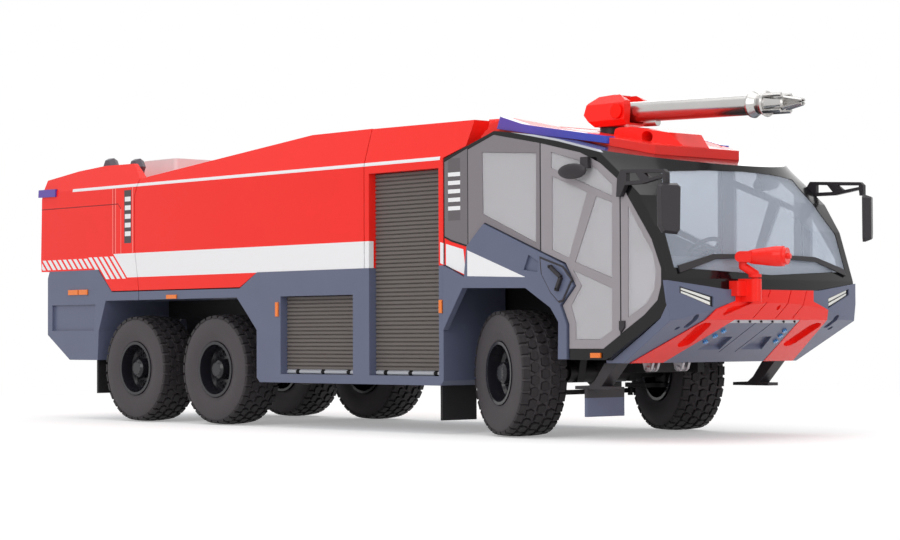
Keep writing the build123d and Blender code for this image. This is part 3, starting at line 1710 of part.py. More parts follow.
barrel = barrel_straight.part.rotate(Axis((pivot_x, 0, pivot_z), (0, 1, 0)), barrel_slope)
save(barrel, "monitor_barrel")

# Bumper monitor: a pedestal on the bumper, a bent neck that swivels and a flared nozzle that tilts.
# Neck and nozzle are drawn pointing ahead and then turned to the parked angle.
socket_x = reach(61.75)
socket_y = 24.1 - bumper_half_width
socket_low_z = level(33.2)
socket_top_z = level(38.7)
socket_radius = 1.55
socket_bore_radius = 0.8
socket_block = (reach(58.9), socket_y - 2.8)
rest_yaw = 20.0
elbow = (-2.54, -1.42, 5.2)
neck_foot = (0, 0, 0.2)
neck_bends = [(0, 0, 1.2), (-2.54, -1.42, 3.0)]
neck_radius = 1.0
neck_plate_thickness = 0.8
neck_pin_length = 2.4
trunnion_radius = 1.3
trunnion_half_length = 1.0
with BuildPart() as bumper_monitor_base:
    with BuildSketch(Plane.XY.offset(socket_low_z)):
        with Locations((socket_x, socket_y)):
            Circle(socket_radius)
        with Locations((socket_x - 2, socket_y)):
            Rectangle(4, 2 * socket_radius)
    extrude(amount=socket_top_z - socket_low_z)
    with BuildSketch(Plane.XY.offset(level(34.6))):
        with Locations(socket_block):
            Rectangle(2.6, 3.7)
    extrude(amount=socket_top_z - 0.5 - level(34.6))
    with BuildSketch(Plane.XY.offset(socket_top_z)):
        with Locations((socket_x, socket_y)):
            Circle(socket_bore_radius + running_gap)
    extrude(amount=-2.5, mode=Mode.SUBTRACT)
    add(bumper_middle.part, mode=Mode.SUBTRACT)
    add(bumper_all, mode=Mode.SUBTRACT)
    add(cab_form(-fit_gap), mode=Mode.SUBTRACT)
save(bumper_monitor_base.part, "bumper_monitor_base")


def parked(piece):
    """A piece drawn from the socket's top, turned to the parked yaw and set in place."""
    return piece.rotate(Axis.Z, rest_yaw).translate((socket_x, socket_y, socket_top_z))


def round_bar(start, end, radius):
    """A round bar from one point to the other."""
    along = Vector(*end) - Vector(*start)
    with BuildPart() as bar:
        with BuildSketch(Plane(origin=start, z_dir=along)) as ring:
            Circle(radius)
        extrude(ring.sketch, amount=along.length)
    return bar.part


neck_points = [neck_foot, *neck_bends, elbow]
with BuildPart() as neck_straight:
    with BuildSketch(Plane.XY.offset(swivel_gap)):
        Circle(socket_radius)
    extrude(amount=neck_plate_thickness)
    with BuildSketch(Plane.XY.offset(swivel_gap)):
        Circle(socket_bore_radius)
    extrude(amount=-neck_pin_length)
    for start, end in zip(neck_points, neck_points[1:]):
        add(round_bar(start, end, neck_radius))
    for bend in neck_bends:
        with Locations(bend):
            Sphere(neck_radius)
    with BuildSketch(Plane.XZ.offset(-elbow[1])):
        with Locations((elbow[0], elbow[2])):
            Circle(trunnion_radius)
    extrude(amount=trunnion_half_length, both=True)
save(parked(neck_straight.part), "bumper_monitor_neck")

cheek_y = trunnion_half_length + swivel_gap
cheek_thickness = 0.6
nozzle_profile = [
    # distance ahead of the elbow, radius
    (1.9, 1.6),
    (3.0, 1.8),
    (8.2, 2.4),
    (10.2, 2.4),
    (10.4, 2.0),
    (11.2, 2.0),
    (11.2, 0.7),
    (12.0, 0.6),
]
with BuildPart() as head_straight:
    for side in (-1, 1):
        with BuildSketch(Plane.XZ.offset(-(elbow[1] + side * cheek_y))):
            with Locations((elbow[0], elbow[2])):
                Circle(trunnion_radius)
            with Locations((elbow[0] + 1.4, elbow[2])):
                Rectangle(2.8, 2 * trunnion_radius)
        extrude(amount=-side * cheek_thickness)
    with BuildSketch(Plane.XZ.offset(-elbow[1])):
        Polygon(
            (elbow[0] + 1.9, elbow[2]),
            *[(elbow[0] + x, elbow[2] + radius) for x, radius in nozzle_profile],
            (elbow[0] + 12.0, elbow[2]),
            align=None,
        )
    revolve(axis=Axis((elbow[0], elbow[1], elbow[2]), (1, 0, 0)))
save(parked(head_straight.part), "bumper_monitor_head")

# Lamps: the small blue lamps, tall rear lamps and orange side markers
bumper_lamps = [
    # drawn x, distance in from the bumper's side
    (51.9, 23.8),
    (49.9, 23.0),
    (47.6, 22.1),
]
bumper_lamp_radius = 0.65
lamp_proud = 0.35
with BuildPart() as corner_beacons:
    for side in (-1, 1):
        with BuildSketch(Plane.XZ.offset(-side * (body_half_width - 1.5))):
            Polygon(
                (rear_x - 0.9, level(69.9)),
                (rear_x + 9.0, level(69.8)),
                (rear_x + 9.0, level(72.2)),
                (rear_x - 0.7, level(72.3)),
                align=None,
            )
        extrude(amount=-side * 2.0)
        for x, inset in bumper_lamps:
            with BuildSketch(slope_plane(x, side * (bumper_half_width - inset), 0)):
                Circle(bumper_lamp_radius)
            extrude(amount=plate_proud + lamp_proud)
    add(rear_module.part, mode=Mode.SUBTRACT)
    add(bumper_plate.part, mode=Mode.SUBTRACT)
save(corner_beacons.part, "corner_beacons")

rear_lamp_length = 4.5
with BuildPart() as rear_lamps:
    for side in (-1, 1):
        with Locations((rear_box_back_x, side * (body_half_width - 3.6), level(35.0))):
            Box(0.8, rear_lamp_length, 15.0, align=(Align.MAX, Align.CENTER, Align.CENTER))
save(rear_lamps.part, "rear_lamps")

marker_proud = 0.4
markers = [
    # x, drawn z, length, height
    (rear_box_back_x + 14.9, 39.4, 5.4, 1.6),
    (rear_box_back_x + 20.5, 39.4, 4.7, 1.6),
    (tank_x + 18.5, 37.3, 5.0, 1.2),
    (small_shutter_x - small_shutter_width / 2 - 1.4, 33.0, 1.2, 4.0),
    (cab_x - 1.0, 33.0, 1.2, 3.4),
    (reach(31.9), 20.6, 3.3, 1.2),
]
with BuildPart() as side_markers:
    for x, z, length, height in markers:
        with Locations((x, -body_half_width, level(z)), (x, body_half_width, level(z))):
            Box(length, 2 * marker_proud, height)
    add(side_lockers.part, mode=Mode.SUBTRACT)
    add(rear_lower_box.part, mode=Mode.SUBTRACT)
    add(tall_shutters.part, mode=Mode.SUBTRACT)
    add(cab_frame.part, mode=Mode.SUBTRACT)
save(side_markers.part, "side_markers")
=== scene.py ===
"""A six-wheeled airport fire truck, a collector's scale model, dressed over its CAD frame."""

import json
import math

import bmesh
import bpy
from mathutils import Matrix, Vector

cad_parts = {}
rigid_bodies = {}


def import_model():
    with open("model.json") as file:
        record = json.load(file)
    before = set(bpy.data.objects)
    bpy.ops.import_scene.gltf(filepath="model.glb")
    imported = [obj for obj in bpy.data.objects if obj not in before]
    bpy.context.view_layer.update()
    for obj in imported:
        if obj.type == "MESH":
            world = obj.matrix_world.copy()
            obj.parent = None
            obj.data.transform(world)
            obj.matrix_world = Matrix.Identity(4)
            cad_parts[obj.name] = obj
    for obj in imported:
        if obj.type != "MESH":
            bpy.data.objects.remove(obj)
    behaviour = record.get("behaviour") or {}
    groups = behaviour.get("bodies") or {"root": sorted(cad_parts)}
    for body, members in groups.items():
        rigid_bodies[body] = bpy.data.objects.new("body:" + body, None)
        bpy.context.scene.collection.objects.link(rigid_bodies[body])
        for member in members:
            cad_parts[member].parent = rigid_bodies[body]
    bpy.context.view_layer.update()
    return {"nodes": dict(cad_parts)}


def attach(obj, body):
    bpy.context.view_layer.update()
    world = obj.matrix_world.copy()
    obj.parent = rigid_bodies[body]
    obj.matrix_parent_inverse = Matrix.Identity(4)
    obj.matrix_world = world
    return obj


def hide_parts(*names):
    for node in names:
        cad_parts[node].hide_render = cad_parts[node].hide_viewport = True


for leftover in list(bpy.data.objects):
    bpy.data.objects.remove(leftover)
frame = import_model()
nodes = frame["nodes"]
MM = 0.001

# Chassis, axles and track rod. The real pieces are black moulded plastic, clipped under the body,
# with a fine satin skin from the mould and edges that catch a thin line of light.


class Wire:
    """An output of a material's nodes. Sums, products and comparisons of wires are Math nodes."""

    def __init__(self, tree, socket):
        self.tree = tree
        self.socket = socket

    def add(self, kind, settings=None, sockets=None, output=0):
        """Any other node: its settings are set first, then the values or wires of its sockets."""
        node = self.tree.nodes.new(kind)
        for name, value in (settings or {}).items():
            setattr(node, name, value)
        for name, value in (sockets or {}).items():
            if isinstance(value, Wire):
                self.tree.links.new(value.socket, node.inputs[name])
            else:
                node.inputs[name].default_value = value
        return Wire(self.tree, node.outputs[output])

    def maths(self, operation, first, second):
        return self.add("ShaderNodeMath", {"operation": operation}, {0: first, 1: second})

    def __add__(self, other):
        return self.maths("ADD", self, other)

    __radd__ = __add__

    def __sub__(self, other):
        return self.maths("SUBTRACT", self, other)

    def __rsub__(self, other):
        return self.maths("SUBTRACT", other, self)

    def __mul__(self, other):
        return self.maths("MULTIPLY", self, other)

    __rmul__ = __mul__

    def __truediv__(self, other):
        return self.maths("DIVIDE", self, other)

    def __mod__(self, other):
        return self.maths("FLOORED_MODULO", self, other)

    def __gt__(self, other):
        return self.maths("GREATER_THAN", self, other)

    def __lt__(self, other):
        return self.maths("LESS_THAN", self, other)

    def __abs__(self):
        return self.maths("ABSOLUTE", self, 0.0)

    def over(self, under, colour):
        """This mask lays a colour, or another wire's colour, over the one under it."""
        # In a Mix node, input 0 is the share, and inputs 6 and 7 and output 2 are colours
        sockets = {0: self, 6: under, 7: colour}
        return self.add("ShaderNodeMix", {"data_type": "RGBA"}, sockets, output=2)


def shade(red, green, blue):
    """A colour as it is seen, 0 to 255, as the shader's own linear colour."""
    return tuple((v / 255) ** 2.2 for v in (red, green, blue)) + (1.0,)


def blank_material(name):
    """A material with an empty tree."""
    material = bpy.data.materials.new(name)
    material.use_nodes = True
    material.node_tree.nodes.clear()
    return material, material.node_tree


cloud_scale, cloud_detail = 160.0, 3.0
grain_scale, grain_detail = 2600.0, 2.0
varnish_roughness, roughness_spread = 0.04, 0.06
edge_radius, edge_samples, grain_strength = 0.22, 4, 0.5


def finish(name, colour, roughness, metallic=0.0, coat=0.0, mottle=0.05, grain=0.012, shine=0.3,
           pattern=None):
    """A moulded or painted skin: faint mottling, a fine grain and edges that catch the light.
    The pattern, where there is one, is given x, y and z in millimetres and the plain colour."""
    material, tree = blank_material(name)
    shader = tree.nodes.new("ShaderNodeBsdfPrincipled")
    out = tree.nodes.new("ShaderNodeOutputMaterial")
    tree.links.new(shader.outputs[0], out.inputs["Surface"])
    shader.inputs["Metallic"].default_value = metallic
    shader.inputs["Coat Weight"].default_value = coat
    shader.inputs["Coat Roughness"].default_value = varnish_roughness
    shader.inputs["Specular IOR Level"].default_value = shine
    place = Wire(tree, tree.nodes.new("ShaderNodeTexCoord").outputs["Object"])
    cloud = place.add("ShaderNodeTexNoise", {},
                      {"Vector": place, "Scale": cloud_scale, "Detail": cloud_detail})
    fine = place.add("ShaderNodeTexNoise", {},
                     {"Vector": place, "Scale": grain_scale, "Detail": grain_detail})
    dim = tuple(v * (1 - 2 * mottle) for v in colour[:3]) + (1.0,)
    base = cloud.over(dim, colour)
    if pattern:
        x, y, z = (place.add("ShaderNodeSeparateXYZ", {}, {0: place}, output=axis) * (1 / MM)
                   for axis in range(3))
        base = pattern(x, y, z, base)
    tree.links.new(base.socket, shader.inputs["Base Color"])
    lowest = roughness - roughness_spread / 2
    tree.links.new((fine * roughness_spread + lowest).socket, shader.inputs["Roughness"])
    edge = place.add("ShaderNodeBevel", {"samples": edge_samples}, {"Radius": edge_radius * MM})
    skin = place.add("ShaderNodeBump", {}, {"Strength": grain_strength, "Distance": grain * MM,
                                            "Height": fine, "Normal": edge})
    tree.links.new(skin.socket, shader.inputs["Normal"])
    return material


def dress(material, *names):
    """Gives CAD nodes their finish."""
    for name in names:
        for holder in nodes[name].material_slots:
            holder.material = material


chassis_black = finish("chassis_black", shade(34, 32, 34), 0.5)
dress(chassis_black, "chassis_frame", "front_axle", "middle_axle", "rear_axle", "knuckle_right",
      "knuckle_left", "track_rod")

# Rims. Each is a deep-dished disc of gloss black plastic pressed on its axle, with a flat hub
# and two rings of small nuts cast on the web round it.
rim_black = finish("rim_black", shade(36, 36, 41), 0.2, coat=0.25, mottle=0.03)
dress(rim_black, "front_rim_right", "front_rim_left", "middle_rims_and_rod", "rear_rims_and_rod")

tyre_radius, wheel_y = 16.0, 28.15
kingpin_x, kingpin_y, axle_z, parked_turn = 72.0, 24.2, tyre_radius, math.radians(-20.0)
wheels = [
    # body, node of its tyre, side, x of its axle, steered
    ("front_wheel_right", "front_tyre_right", -1, kingpin_x, True),
    ("front_wheel_left", "front_tyre_left", 1, kingpin_x, True),
    ("middle_wheels", "middle_tyre_right", -1, -49.8, False),
    ("middle_wheels", "middle_tyre_left", 1, -49.8, False),
    ("rear_wheels", "rear_tyre_right", -1, -90.0, False),
    ("rear_wheels", "rear_tyre_left", 1, -90.0, False),
]


def wheel_place(side, x, steered):
    """Takes a piece made at the origin, its outer face towards +Y, to its wheel."""
    facing = Matrix.Rotation(0.0 if side > 0 else math.pi, 4, "Z")
    if not steered:
        return Matrix.Translation((x * MM, side * wheel_y * MM, axle_z * MM)) @ facing
    pin = Matrix.Translation((kingpin_x * MM, side * kingpin_y * MM, axle_z * MM))
    out = Matrix.Translation((0, side * (wheel_y - kingpin_y) * MM, 0))
    return pin @ Matrix.Rotation(parked_turn, 4, "Z") @ out @ facing


same_point = 1e-6


def new_piece(name, points, faces, *materials):
    """A mesh object from points in millimetres, its faces turned outwards."""
    mesh = bpy.data.meshes.new(name)
    mesh.from_pydata([Vector(p) * MM for p in points], [], faces)
    form = bmesh.new()
    form.from_mesh(mesh)
    bmesh.ops.remove_doubles(form, verts=form.verts, dist=same_point)
    bmesh.ops.recalc_face_normals(form, faces=form.faces)
    form.to_mesh(mesh)
    form.free()
    for material in materials:
        mesh.materials.append(material)
    piece = bpy.data.objects.new(name, mesh)
    bpy.context.scene.collection.objects.link(piece)
    return piece


def prism(outline, low, high, draft=0.0):
    """Points and faces of a plate with that outline in X and Y, narrower by its draft on top."""
    mid_x = sum(p[0] for p in outline) / len(outline)
    mid_y = sum(p[1] for p in outline) / len(outline)
    count = len(outline)
    points = [(x, y, low) for x, y in outline]
    for x, y in outline:
        away = math.hypot(x - mid_x, y - mid_y)
        inwards = 1 - draft / away
        points.append((mid_x + (x - mid_x) * inwards, mid_y + (y - mid_y) * inwards, high))
    faces = [tuple(range(count))[::-1], tuple(range(count, 2 * count))]
    faces += [(i, (i + 1) % count, count + (i + 1) % count, count + i) for i in range(count)]
    return points, faces


def gathered(parts):
    """Several lists of points and faces as one."""
    points, faces = [], []
    for some_points, some_faces in parts:
        start = len(points)
        points += some_points
        faces += [tuple(i + start for i in face) for face in some_faces]
    return points, faces


def blank_tree(name, inputs):
    """A Geometry Nodes tree with a geometry in and out, and its named inputs."""
    tree = bpy.data.node_groups.new(name, "GeometryNodeTree")
    tree.interface.new_socket("Geometry", in_out="OUTPUT", socket_type="NodeSocketGeometry")
    for label, kind in [("Geometry", "Geometry")] + inputs:
        tree.interface.new_socket(label, in_out="INPUT", socket_type="NodeSocket" + kind)
    return tree


def ring_tree(name):
    """Geometry Nodes that set copies of a piece in a ring about the axle, the Y axis."""
    tree = blank_tree(name, [("Count", "Int"), ("Start", "Float"), ("Finish", "Material")])
    made = {kind: tree.nodes.new(kind) for kind in (
        "NodeGroupInput", "NodeGroupOutput", "GeometryNodeMeshLine", "GeometryNodeInstanceOnPoints",
        "GeometryNodeInputIndex", "ShaderNodeCombineXYZ", "GeometryNodeRealizeInstances",
        "GeometryNodeSetMaterial")}
    step, turn, offset = (tree.nodes.new("ShaderNodeMath") for _ in range(3))
    step.operation, turn.operation, offset.operation = "DIVIDE", "MULTIPLY", "ADD"
    step.inputs[0].default_value = 2 * math.pi
    given, spots = made["NodeGroupInput"], made["GeometryNodeInstanceOnPoints"]
    line, spin = made["GeometryNodeMeshLine"], made["ShaderNodeCombineXYZ"]
    whole, painted = made["GeometryNodeRealizeInstances"], made["GeometryNodeSetMaterial"]
    line.inputs["Offset"].default_value = (0, 0, 0)
    for source, target in (
        (given.outputs["Count"], line.inputs["Count"]),
        (given.outputs["Count"], step.inputs[1]),
        (made["GeometryNodeInputIndex"].outputs[0], turn.inputs[0]),
        (step.outputs[0], turn.inputs[1]),
        (turn.outputs[0], offset.inputs[0]),
        (given.outputs["Start"], offset.inputs[1]),
        (offset.outputs[0], spin.inputs["Y"]),
        (line.outputs[0], spots.inputs["Points"]),
        (given.outputs["Geometry"], spots.inputs["Instance"]),
        (spin.outputs[0], spots.inputs["Rotation"]),
        (spots.outputs[0], whole.inputs[0]),
        (whole.outputs[0], painted.inputs["Geometry"]),
        (given.outputs["Finish"], painted.inputs["Material"]),
        (painted.outputs[0], made["NodeGroupOutput"].inputs[0]),
    ):
        tree.links.new(source, target)
    return tree


def grown(piece, tree, **inputs):
    """Runs a tree on a piece and leaves the result as its plain mesh."""
    added = piece.modifiers.new(tree.name, "NODES")
    added.node_group = tree
    for item in tree.interface.items_tree:
        if item.in_out == "INPUT" and item.name in inputs:
            added[item.identifier] = inputs[item.name]
    evaluated = piece.evaluated_get(bpy.context.evaluated_depsgraph_get())
    mesh = bpy.data.meshes.new_from_object(evaluated)
    piece.modifiers.remove(added)
    piece.data = mesh
    return piece


def joined(name, pieces):
    """One piece from several; their places are already in their meshes."""
    form = bmesh.new()
    materials = []
    for piece in pieces:
        first = len(form.faces)
        form.from_mesh(piece.data)
        form.faces.ensure_lookup_table()
        local = list(piece.data.materials)
        for material in local:
            if material not in materials:
                materials.append(material)
        for face in form.faces[first:]:
            face.material_index = materials.index(local[face.material_index])
    mesh = bpy.data.meshes.new(name)
    form.to_mesh(mesh)
    form.free()
    for material in materials:
        mesh.materials.append(material)
    for piece in pieces:
        bpy.data.objects.remove(piece)
    whole = bpy.data.objects.new(name, mesh)
    bpy.context.scene.collection.objects.link(whole)
    return whole


def placed_copies(master, name, rows):
    """Copies of a wheel piece at each row's wheel, one object for each body."""
    bodies = {}
    for body, _, side, x, steered in rows:
        copy = bpy.data.objects.new(name + "_part", master.data.copy())
        bpy.context.scene.collection.objects.link(copy)
        copy.data.transform(wheel_place(side, x, steered))
        bodies.setdefault(body, []).append(copy)
    bpy.data.objects.remove(master)
    return {body: joined(name + "_" + body, copies) for body, copies in bodies.items()}


def round_outline(radius, corners):
    """The corners of a regular outline round the origin."""
    turns = [2 * math.pi * corner / corners for corner in range(corners)]
    return [(radius * math.cos(turn), radius * math.sin(turn)) for turn in turns]


ring_of = ring_tree("ring_round_the_axle")
web_y, hub_y, nut_corners, nut_draft = 1.65, 5.35, 6, 0.05
nut_rings = [
    # nuts, ring radius, nut radius, foot, height, start
    (20, 4.9, 0.3, web_y, 0.5, 0.0),
    (20, 4.15, 0.22, web_y, 0.35, 0.157),
    (12, 1.9, 0.16, hub_y, 0.25, 0.0),
]
rings = []
for count, ring_radius, nut_radius, foot, height, start in nut_rings:
    flat, faces = prism(round_outline(nut_radius, nut_corners), foot, foot + height, nut_draft)
    nut = new_piece("nut", [(x, z, y + ring_radius) for x, y, z in flat], faces)
    rings.append(grown(nut, ring_of, Count=count, Start=start, Finish=rim_black))
for body, piece in placed_copies(joined("nuts", rings), "wheel_nuts", wheels).items():
    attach(piece, body)

# Tyres. Soft black rubber stretched over the rims: a smooth sidewall whose dull sheen is painted as
# a paler grey than the tread's, and a crown of five staggered rows of blocks, the outer ones square
# and the inner ones six-sided.
sidewall_rubber_sheen = finish("sidewall_rubber_sheen", shade(78, 74, 77), 0.62, mottle=0.1, grain=0.03)
tread_rubber = finish("tread_rubber", shade(48, 45, 47), 0.6, mottle=0.1, grain=0.03)
carcass = [
    # across, radius
    (5.3, 8.02), (5.75, 8.25), (5.7, 8.7), (6.0, 9.6), (6.2, 10.8), (6.25, 12.0), (6.2, 13.2),
    (6.0, 14.3), (5.85, 14.75), (5.6, 15.0), (3.6, 15.15), (1.8, 15.2), (0.0, 15.22),
]
carcass = carcass + [(-across, radius) for across, radius in carcass[-2::-1]]
turn_steps = 96
tyre_points, tyre_faces = [], []
for step in range(turn_steps):
    angle = 2 * math.pi * step / turn_steps
    tyre_points += [(r * math.sin(angle), across, r * math.cos(angle)) for across, r in carcass]
loop = len(carcass)
for step in range(turn_steps):
    here, there = step * loop, (step + 1) % turn_steps * loop
    for i in range(loop):
        j = (i + 1) % loop
        tyre_faces.append((here + i, here + j, there + j, there + i))
body_of_tyre = new_piece("carcass", tyre_points, tyre_faces, sidewall_rubber_sheen)
for face in body_of_tyre.data.polygons:
    face.use_smooth = True

pitch_count = 32
pitch = 2 * math.pi * tyre_radius / pitch_count
blocks = [
    # middle across, half width, half length, how far its points reach, shift in pitches
    (5.05, 0.98, 0.40, 0.0, 0.0),
    (2.75, 1.05, 0.30, 0.16, 0.5),
    (0.0, 1.1, 0.30, 0.14, 0.0),
    (-2.75, 1.05, 0.30, 0.16, 0.5),
    (-5.05, 0.98, 0.40, 0.0, 0.0),
]
crown_radius, block_foot_radius, crown_drop, block_draft = 15.96, 14.7, 0.012, 0.16
# A point near the middle of each straight side lets the block bend round the crown
bend = 0.05
tread_blocks = []
for across, half_width, half_length, point, shift in blocks:
    outline = [
        (-half_length, -half_width), (-bend, -half_width), (half_length, -half_width),
        (half_length + point, 0.0), (half_length, half_width), (bend, half_width),
        (-half_length, half_width), (-half_length - point, 0.0),
    ]
    flat, faces = prism([(x * pitch, y) for x, y in outline], 0.0, 1.0, block_draft)
    bent = []
    for along, y, up in flat:
        top = crown_radius - crown_drop * (y + across) ** 2
        radius = block_foot_radius + (top - block_foot_radius) * up
        angle = (along + shift * pitch) / tyre_radius
        bent.append((radius * math.sin(angle), y + across, radius * math.cos(angle)))
    tread_blocks.append((bent, faces))
tread = grown(new_piece("tread", *gathered(tread_blocks)), ring_of, Count=pitch_count, Start=0.0,
              Finish=tread_rubber)
for body, piece in placed_copies(joined("tyre", [body_of_tyre, tread]), "tyres", wheels).items():
    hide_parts(*[node for owner, node, *_ in wheels if owner == body])
    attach(piece, body)

# Lower body: rear box, side lockers, fenders and bumper wings. Thin-walled mouldings sprayed in a
# satin blue-grey, with the door gaps and grilles left as cut lines.


def inside(x, z, corners):
    """A mask that is 1 inside a convex outline of side-view corners, given clockwise or not."""
    mid_x = sum(c[0] for c in corners) / len(corners)
    mid_z = sum(c[1] for c in corners) / len(corners)
    mask = None
    for (x1, z1), (x2, z2) in zip(corners, corners[1:] + corners[:1]):
        across_x, across_z = z2 - z1, x1 - x2
        limit = across_x * x1 + across_z * z1
        if across_x * mid_x + across_z * mid_z < limit:
            across_x, across_z, limit = -across_x, -across_z, -limit
        half = x * across_x + z * across_z > limit
        mask = half if mask is None else mask * half
    return mask


def between(value, low, high):
    """A mask that is 1 between two bounds."""
    return (value > low) * (value < high)


def line_at(value, middle, half_width):
    """A mask that is 1 on a line of that middle and half width."""
    return abs(value - middle) < half_width


white = shade(243, 243, 245)
red = shade(255, 46, 38)
slate = shade(100, 106, 130)
deep_black = shade(14, 13, 16)
silver = shade(190, 192, 198)
grille_floor, grille_half_width, grille_heights = (-136.95, -136.4), 20.8, (29.0, 39.5)
side_y = 33.0
fender_wedge = [(59.0, 47.2), (80.2, 39.9), (59.0, 40.6)]
bumper_bend, pocket_floor, pocket_rear = 0.00282, 130.1, 121.0
pocket_heights, pocket_sides = (31.6, 36.5), (16.5, 31.8)
strip_rear, strip_foot = 126.9, 28.0
hanging_plate_top = 10.2


def rear_box_slot_shade(x, y, z, base):
    """Painted shade darkens the floor of the rear grille's five slots."""
    shaded_slots = between(x, *grille_floor) * (abs(y) < grille_half_width) * between(z, *grille_heights)
    return shaded_slots.over(base, deep_black)


def fender_livery(x, y, z, base):
    """The white wedge of the stripe runs out to a point on the fender's top."""
    return (inside(x, z, fender_wedge) * (abs(y) > side_y)).over(base, white)


def wing_pocket_shade(x, y, z, base):
    """Painted shade blackens the pockets round the headlights and the slots of the wings."""
    deep = (x + y * y * bumper_bend < pocket_floor) * (x > pocket_rear)
    shaded_pocket = deep * between(z, *pocket_heights) * between(abs(y), *pocket_sides)
    return shaded_pocket.over(base, deep_black)


def plate_print(x, y, z, base):
    """The plate ends in a plated strip at its upper edge."""
    return ((x > strip_rear) * (z > strip_foot)).over(base, silver)


def step_print(x, y, z, base):
    """Only the plate under the right step shows the body's colour."""
    return (z < hanging_plate_top).over(base, slate)


body_grey = finish("body_grey", slate, 0.34, coat=0.12)
rear_box_grey = finish("rear_box_grey", slate, 0.34, coat=0.12, pattern=rear_box_slot_shade)
fender_grey = finish("fender_grey", slate, 0.34, coat=0.12, pattern=fender_livery)
wing_grey = finish("wing_grey", slate, 0.34, coat=0.12, pattern=wing_pocket_shade)
plate_grey = finish("plate_grey", slate, 0.34, coat=0.12, pattern=plate_print)
step_black = finish("step_black", shade(56, 53, 56), 0.4, pattern=step_print)
dress(body_grey, "side_lockers")
dress(rear_box_grey, "rear_lower_box")
dress(fender_grey, "fenders")
dress(wing_grey, "bumper_wings")
dress(plate_grey, "bumper_plate")
dress(step_black, "cab_steps")

# Roller shutters. Warm dark-grey slats, moulded as one plate and sprayed matt, closed by a
# bright bar along the foot.
shutter_clips = [
    # x of the shutter's middle, distance to its outer clips
    (33.7, 10.0),
    (-2.7, 11.0),
]
foot_bar_top, clip_half_width = 16.35, 0.75


def shutter_print(x, y, z, base):
    """The plated foot bar of each shutter and its three black clips."""
    foot = z < foot_bar_top
    places = [middle + shift for middle, spread in shutter_clips
              for shift in (-spread, 0.0, spread)]
    clips = sum((line_at(x, place, clip_half_width) for place in places), 0.0) * foot
    return clips.over(foot.over(base, silver), deep_black)


shutter_grey = finish("shutter_grey", shade(112, 106, 103), 0.5, shine=0.2, pattern=shutter_print)
dress(shutter_grey, "tall_shutters", "small_shutters")

# Red upper body: rear module, tank body and pump module. Cast metal sprayed a bright orange-red
# under clear varnish; the white stripes and the slanting bars at the back are printed on it.


thin_stripe_x, thin_stripe_z = (-123.3, 48.2), (70.85, 71.75)
band_front, band_z, band_end, bars_end, bars_rear = 47.6, (43.5, 50.8), -50.0, -65.5, -141.0
long_bars_z, short_bars_z, bar_pitch, bar_share = (43.2, 50.1), (46.7, 49.8), 2.93, 0.62
corner_patch, patch_rear = [(48.2, 49.6), (56.9, 47.5), (57.9, 40.9), (48.2, 44.2)], 47.9


def stripes(x, y, z, base):
    """The thin stripe, the broad band and the slanting bars that end it."""
    thin = between(z, *thin_stripe_z) * between(x, *thin_stripe_x)
    lean = x + z
    bar = (lean % bar_pitch) / bar_pitch < bar_share
    band = between(z, *band_z) * (lean > band_end) * (x < band_front)
    long_bars = bar * between(z, *long_bars_z) * between(lean, bars_end, band_end)
    short_bars = bar * between(z, *short_bars_z) * (x > bars_rear) * (lean < bars_end)
    patch = inside(x, z, corner_patch) * (x > patch_rear)
    printed = thin + band + long_bars + short_bars + patch > 0.5
    return (printed * (abs(y) > side_y)).over(base, white)


# The pale red is a painted highlight: light lines along the rear module's creases and its joint.
seam_red, crease_highlight_red, strip_grey = shade(150, 8, 8), shade(255, 128, 120), shade(78, 72, 76)
crease_foot, crease_top = 50.9, 70.8
crease_highlights = [
    # x, half width, top
    (-101.15, 0.2, crease_top),
    (-99.7, 0.22, crease_top),
    (-96.8, 0.16, 64.6),
    (-90.55, 0.22, crease_top),
]
groove_x, groove_half_width, seam_half_width = -100.42, 0.12, 0.16
lid_seam_z, lid_seam_front = 66.0, -98.2
lid_corner = [(-98.3, 66.15), (-98.3, 65.85), (-96.95, 64.4), (-96.65, 64.6)]
module_side_y, module_back_x = 33.5, -138.4
flap_half_width, flap_foot, flap_top = 24.0, 48.0, 67.0
strip_x, strip_z, column_x = (-95.0, -91.25), (53.9, 70.0), (-94.65, -91.6)
square_foot, square_pitch, square_height, squares_shown = 56.05, 2.63, 1.42, 4.6


def rear_livery(x, y, z, base):
    """The stripes, with painted highlights along the rear module's creases and its joint, its lid's
    seam, the flap at the back and the squares by the joint."""
    side = abs(y) > module_side_y
    # Painted highlights along the creases and the joint
    light = sum((line_at(x, place, half) * between(z, crease_foot, top)
                 for place, half, top in crease_highlights), 0.0)
    made = (light > 0.5).over(base, crease_highlight_red)
    groove = line_at(x, groove_x, groove_half_width) * between(z, crease_foot, crease_top)
    lid = line_at(z, lid_seam_z, seam_half_width) * (x < lid_seam_front)
    dark = groove + lid + inside(x, z, lid_corner) > 0.5
    made = stripes(x, y, z, (dark * side).over(made, seam_red))
    uprights = line_at(abs(y), flap_half_width, seam_half_width) * between(z, flap_foot, flap_top)
    ends = line_at(z, flap_foot, seam_half_width) + line_at(z, flap_top, seam_half_width)
    flap = uprights + ends * (abs(y) < flap_half_width + seam_half_width) > 0.5
    made = (flap * (x < module_back_x)).over(made, seam_red)
    strip = between(x, *strip_x) * between(z, *strip_z) * side
    squares_top = square_foot + squares_shown * square_pitch
    column = between(x, *column_x) * between(z, square_foot, squares_top)
    squares = column * ((z - square_foot) % square_pitch < square_height) * side
    return squares.over(strip.over(made, strip_grey), white)


corner_rim_x = 50.3


def corner_print(x, y, z, base):
    """The white patch of the band goes on over the cab's rear corner and leaves a red rim."""
    return (inside(x, z, corner_patch) * (x > corner_rim_x)).over(base, white)


def red_paint(name, pattern=None):
    """The bright red coat, with what is printed on it."""
    return finish(name, red, 0.24, coat=0.08, mottle=0.015, grain=0.004, shine=0.22,
                  pattern=pattern)


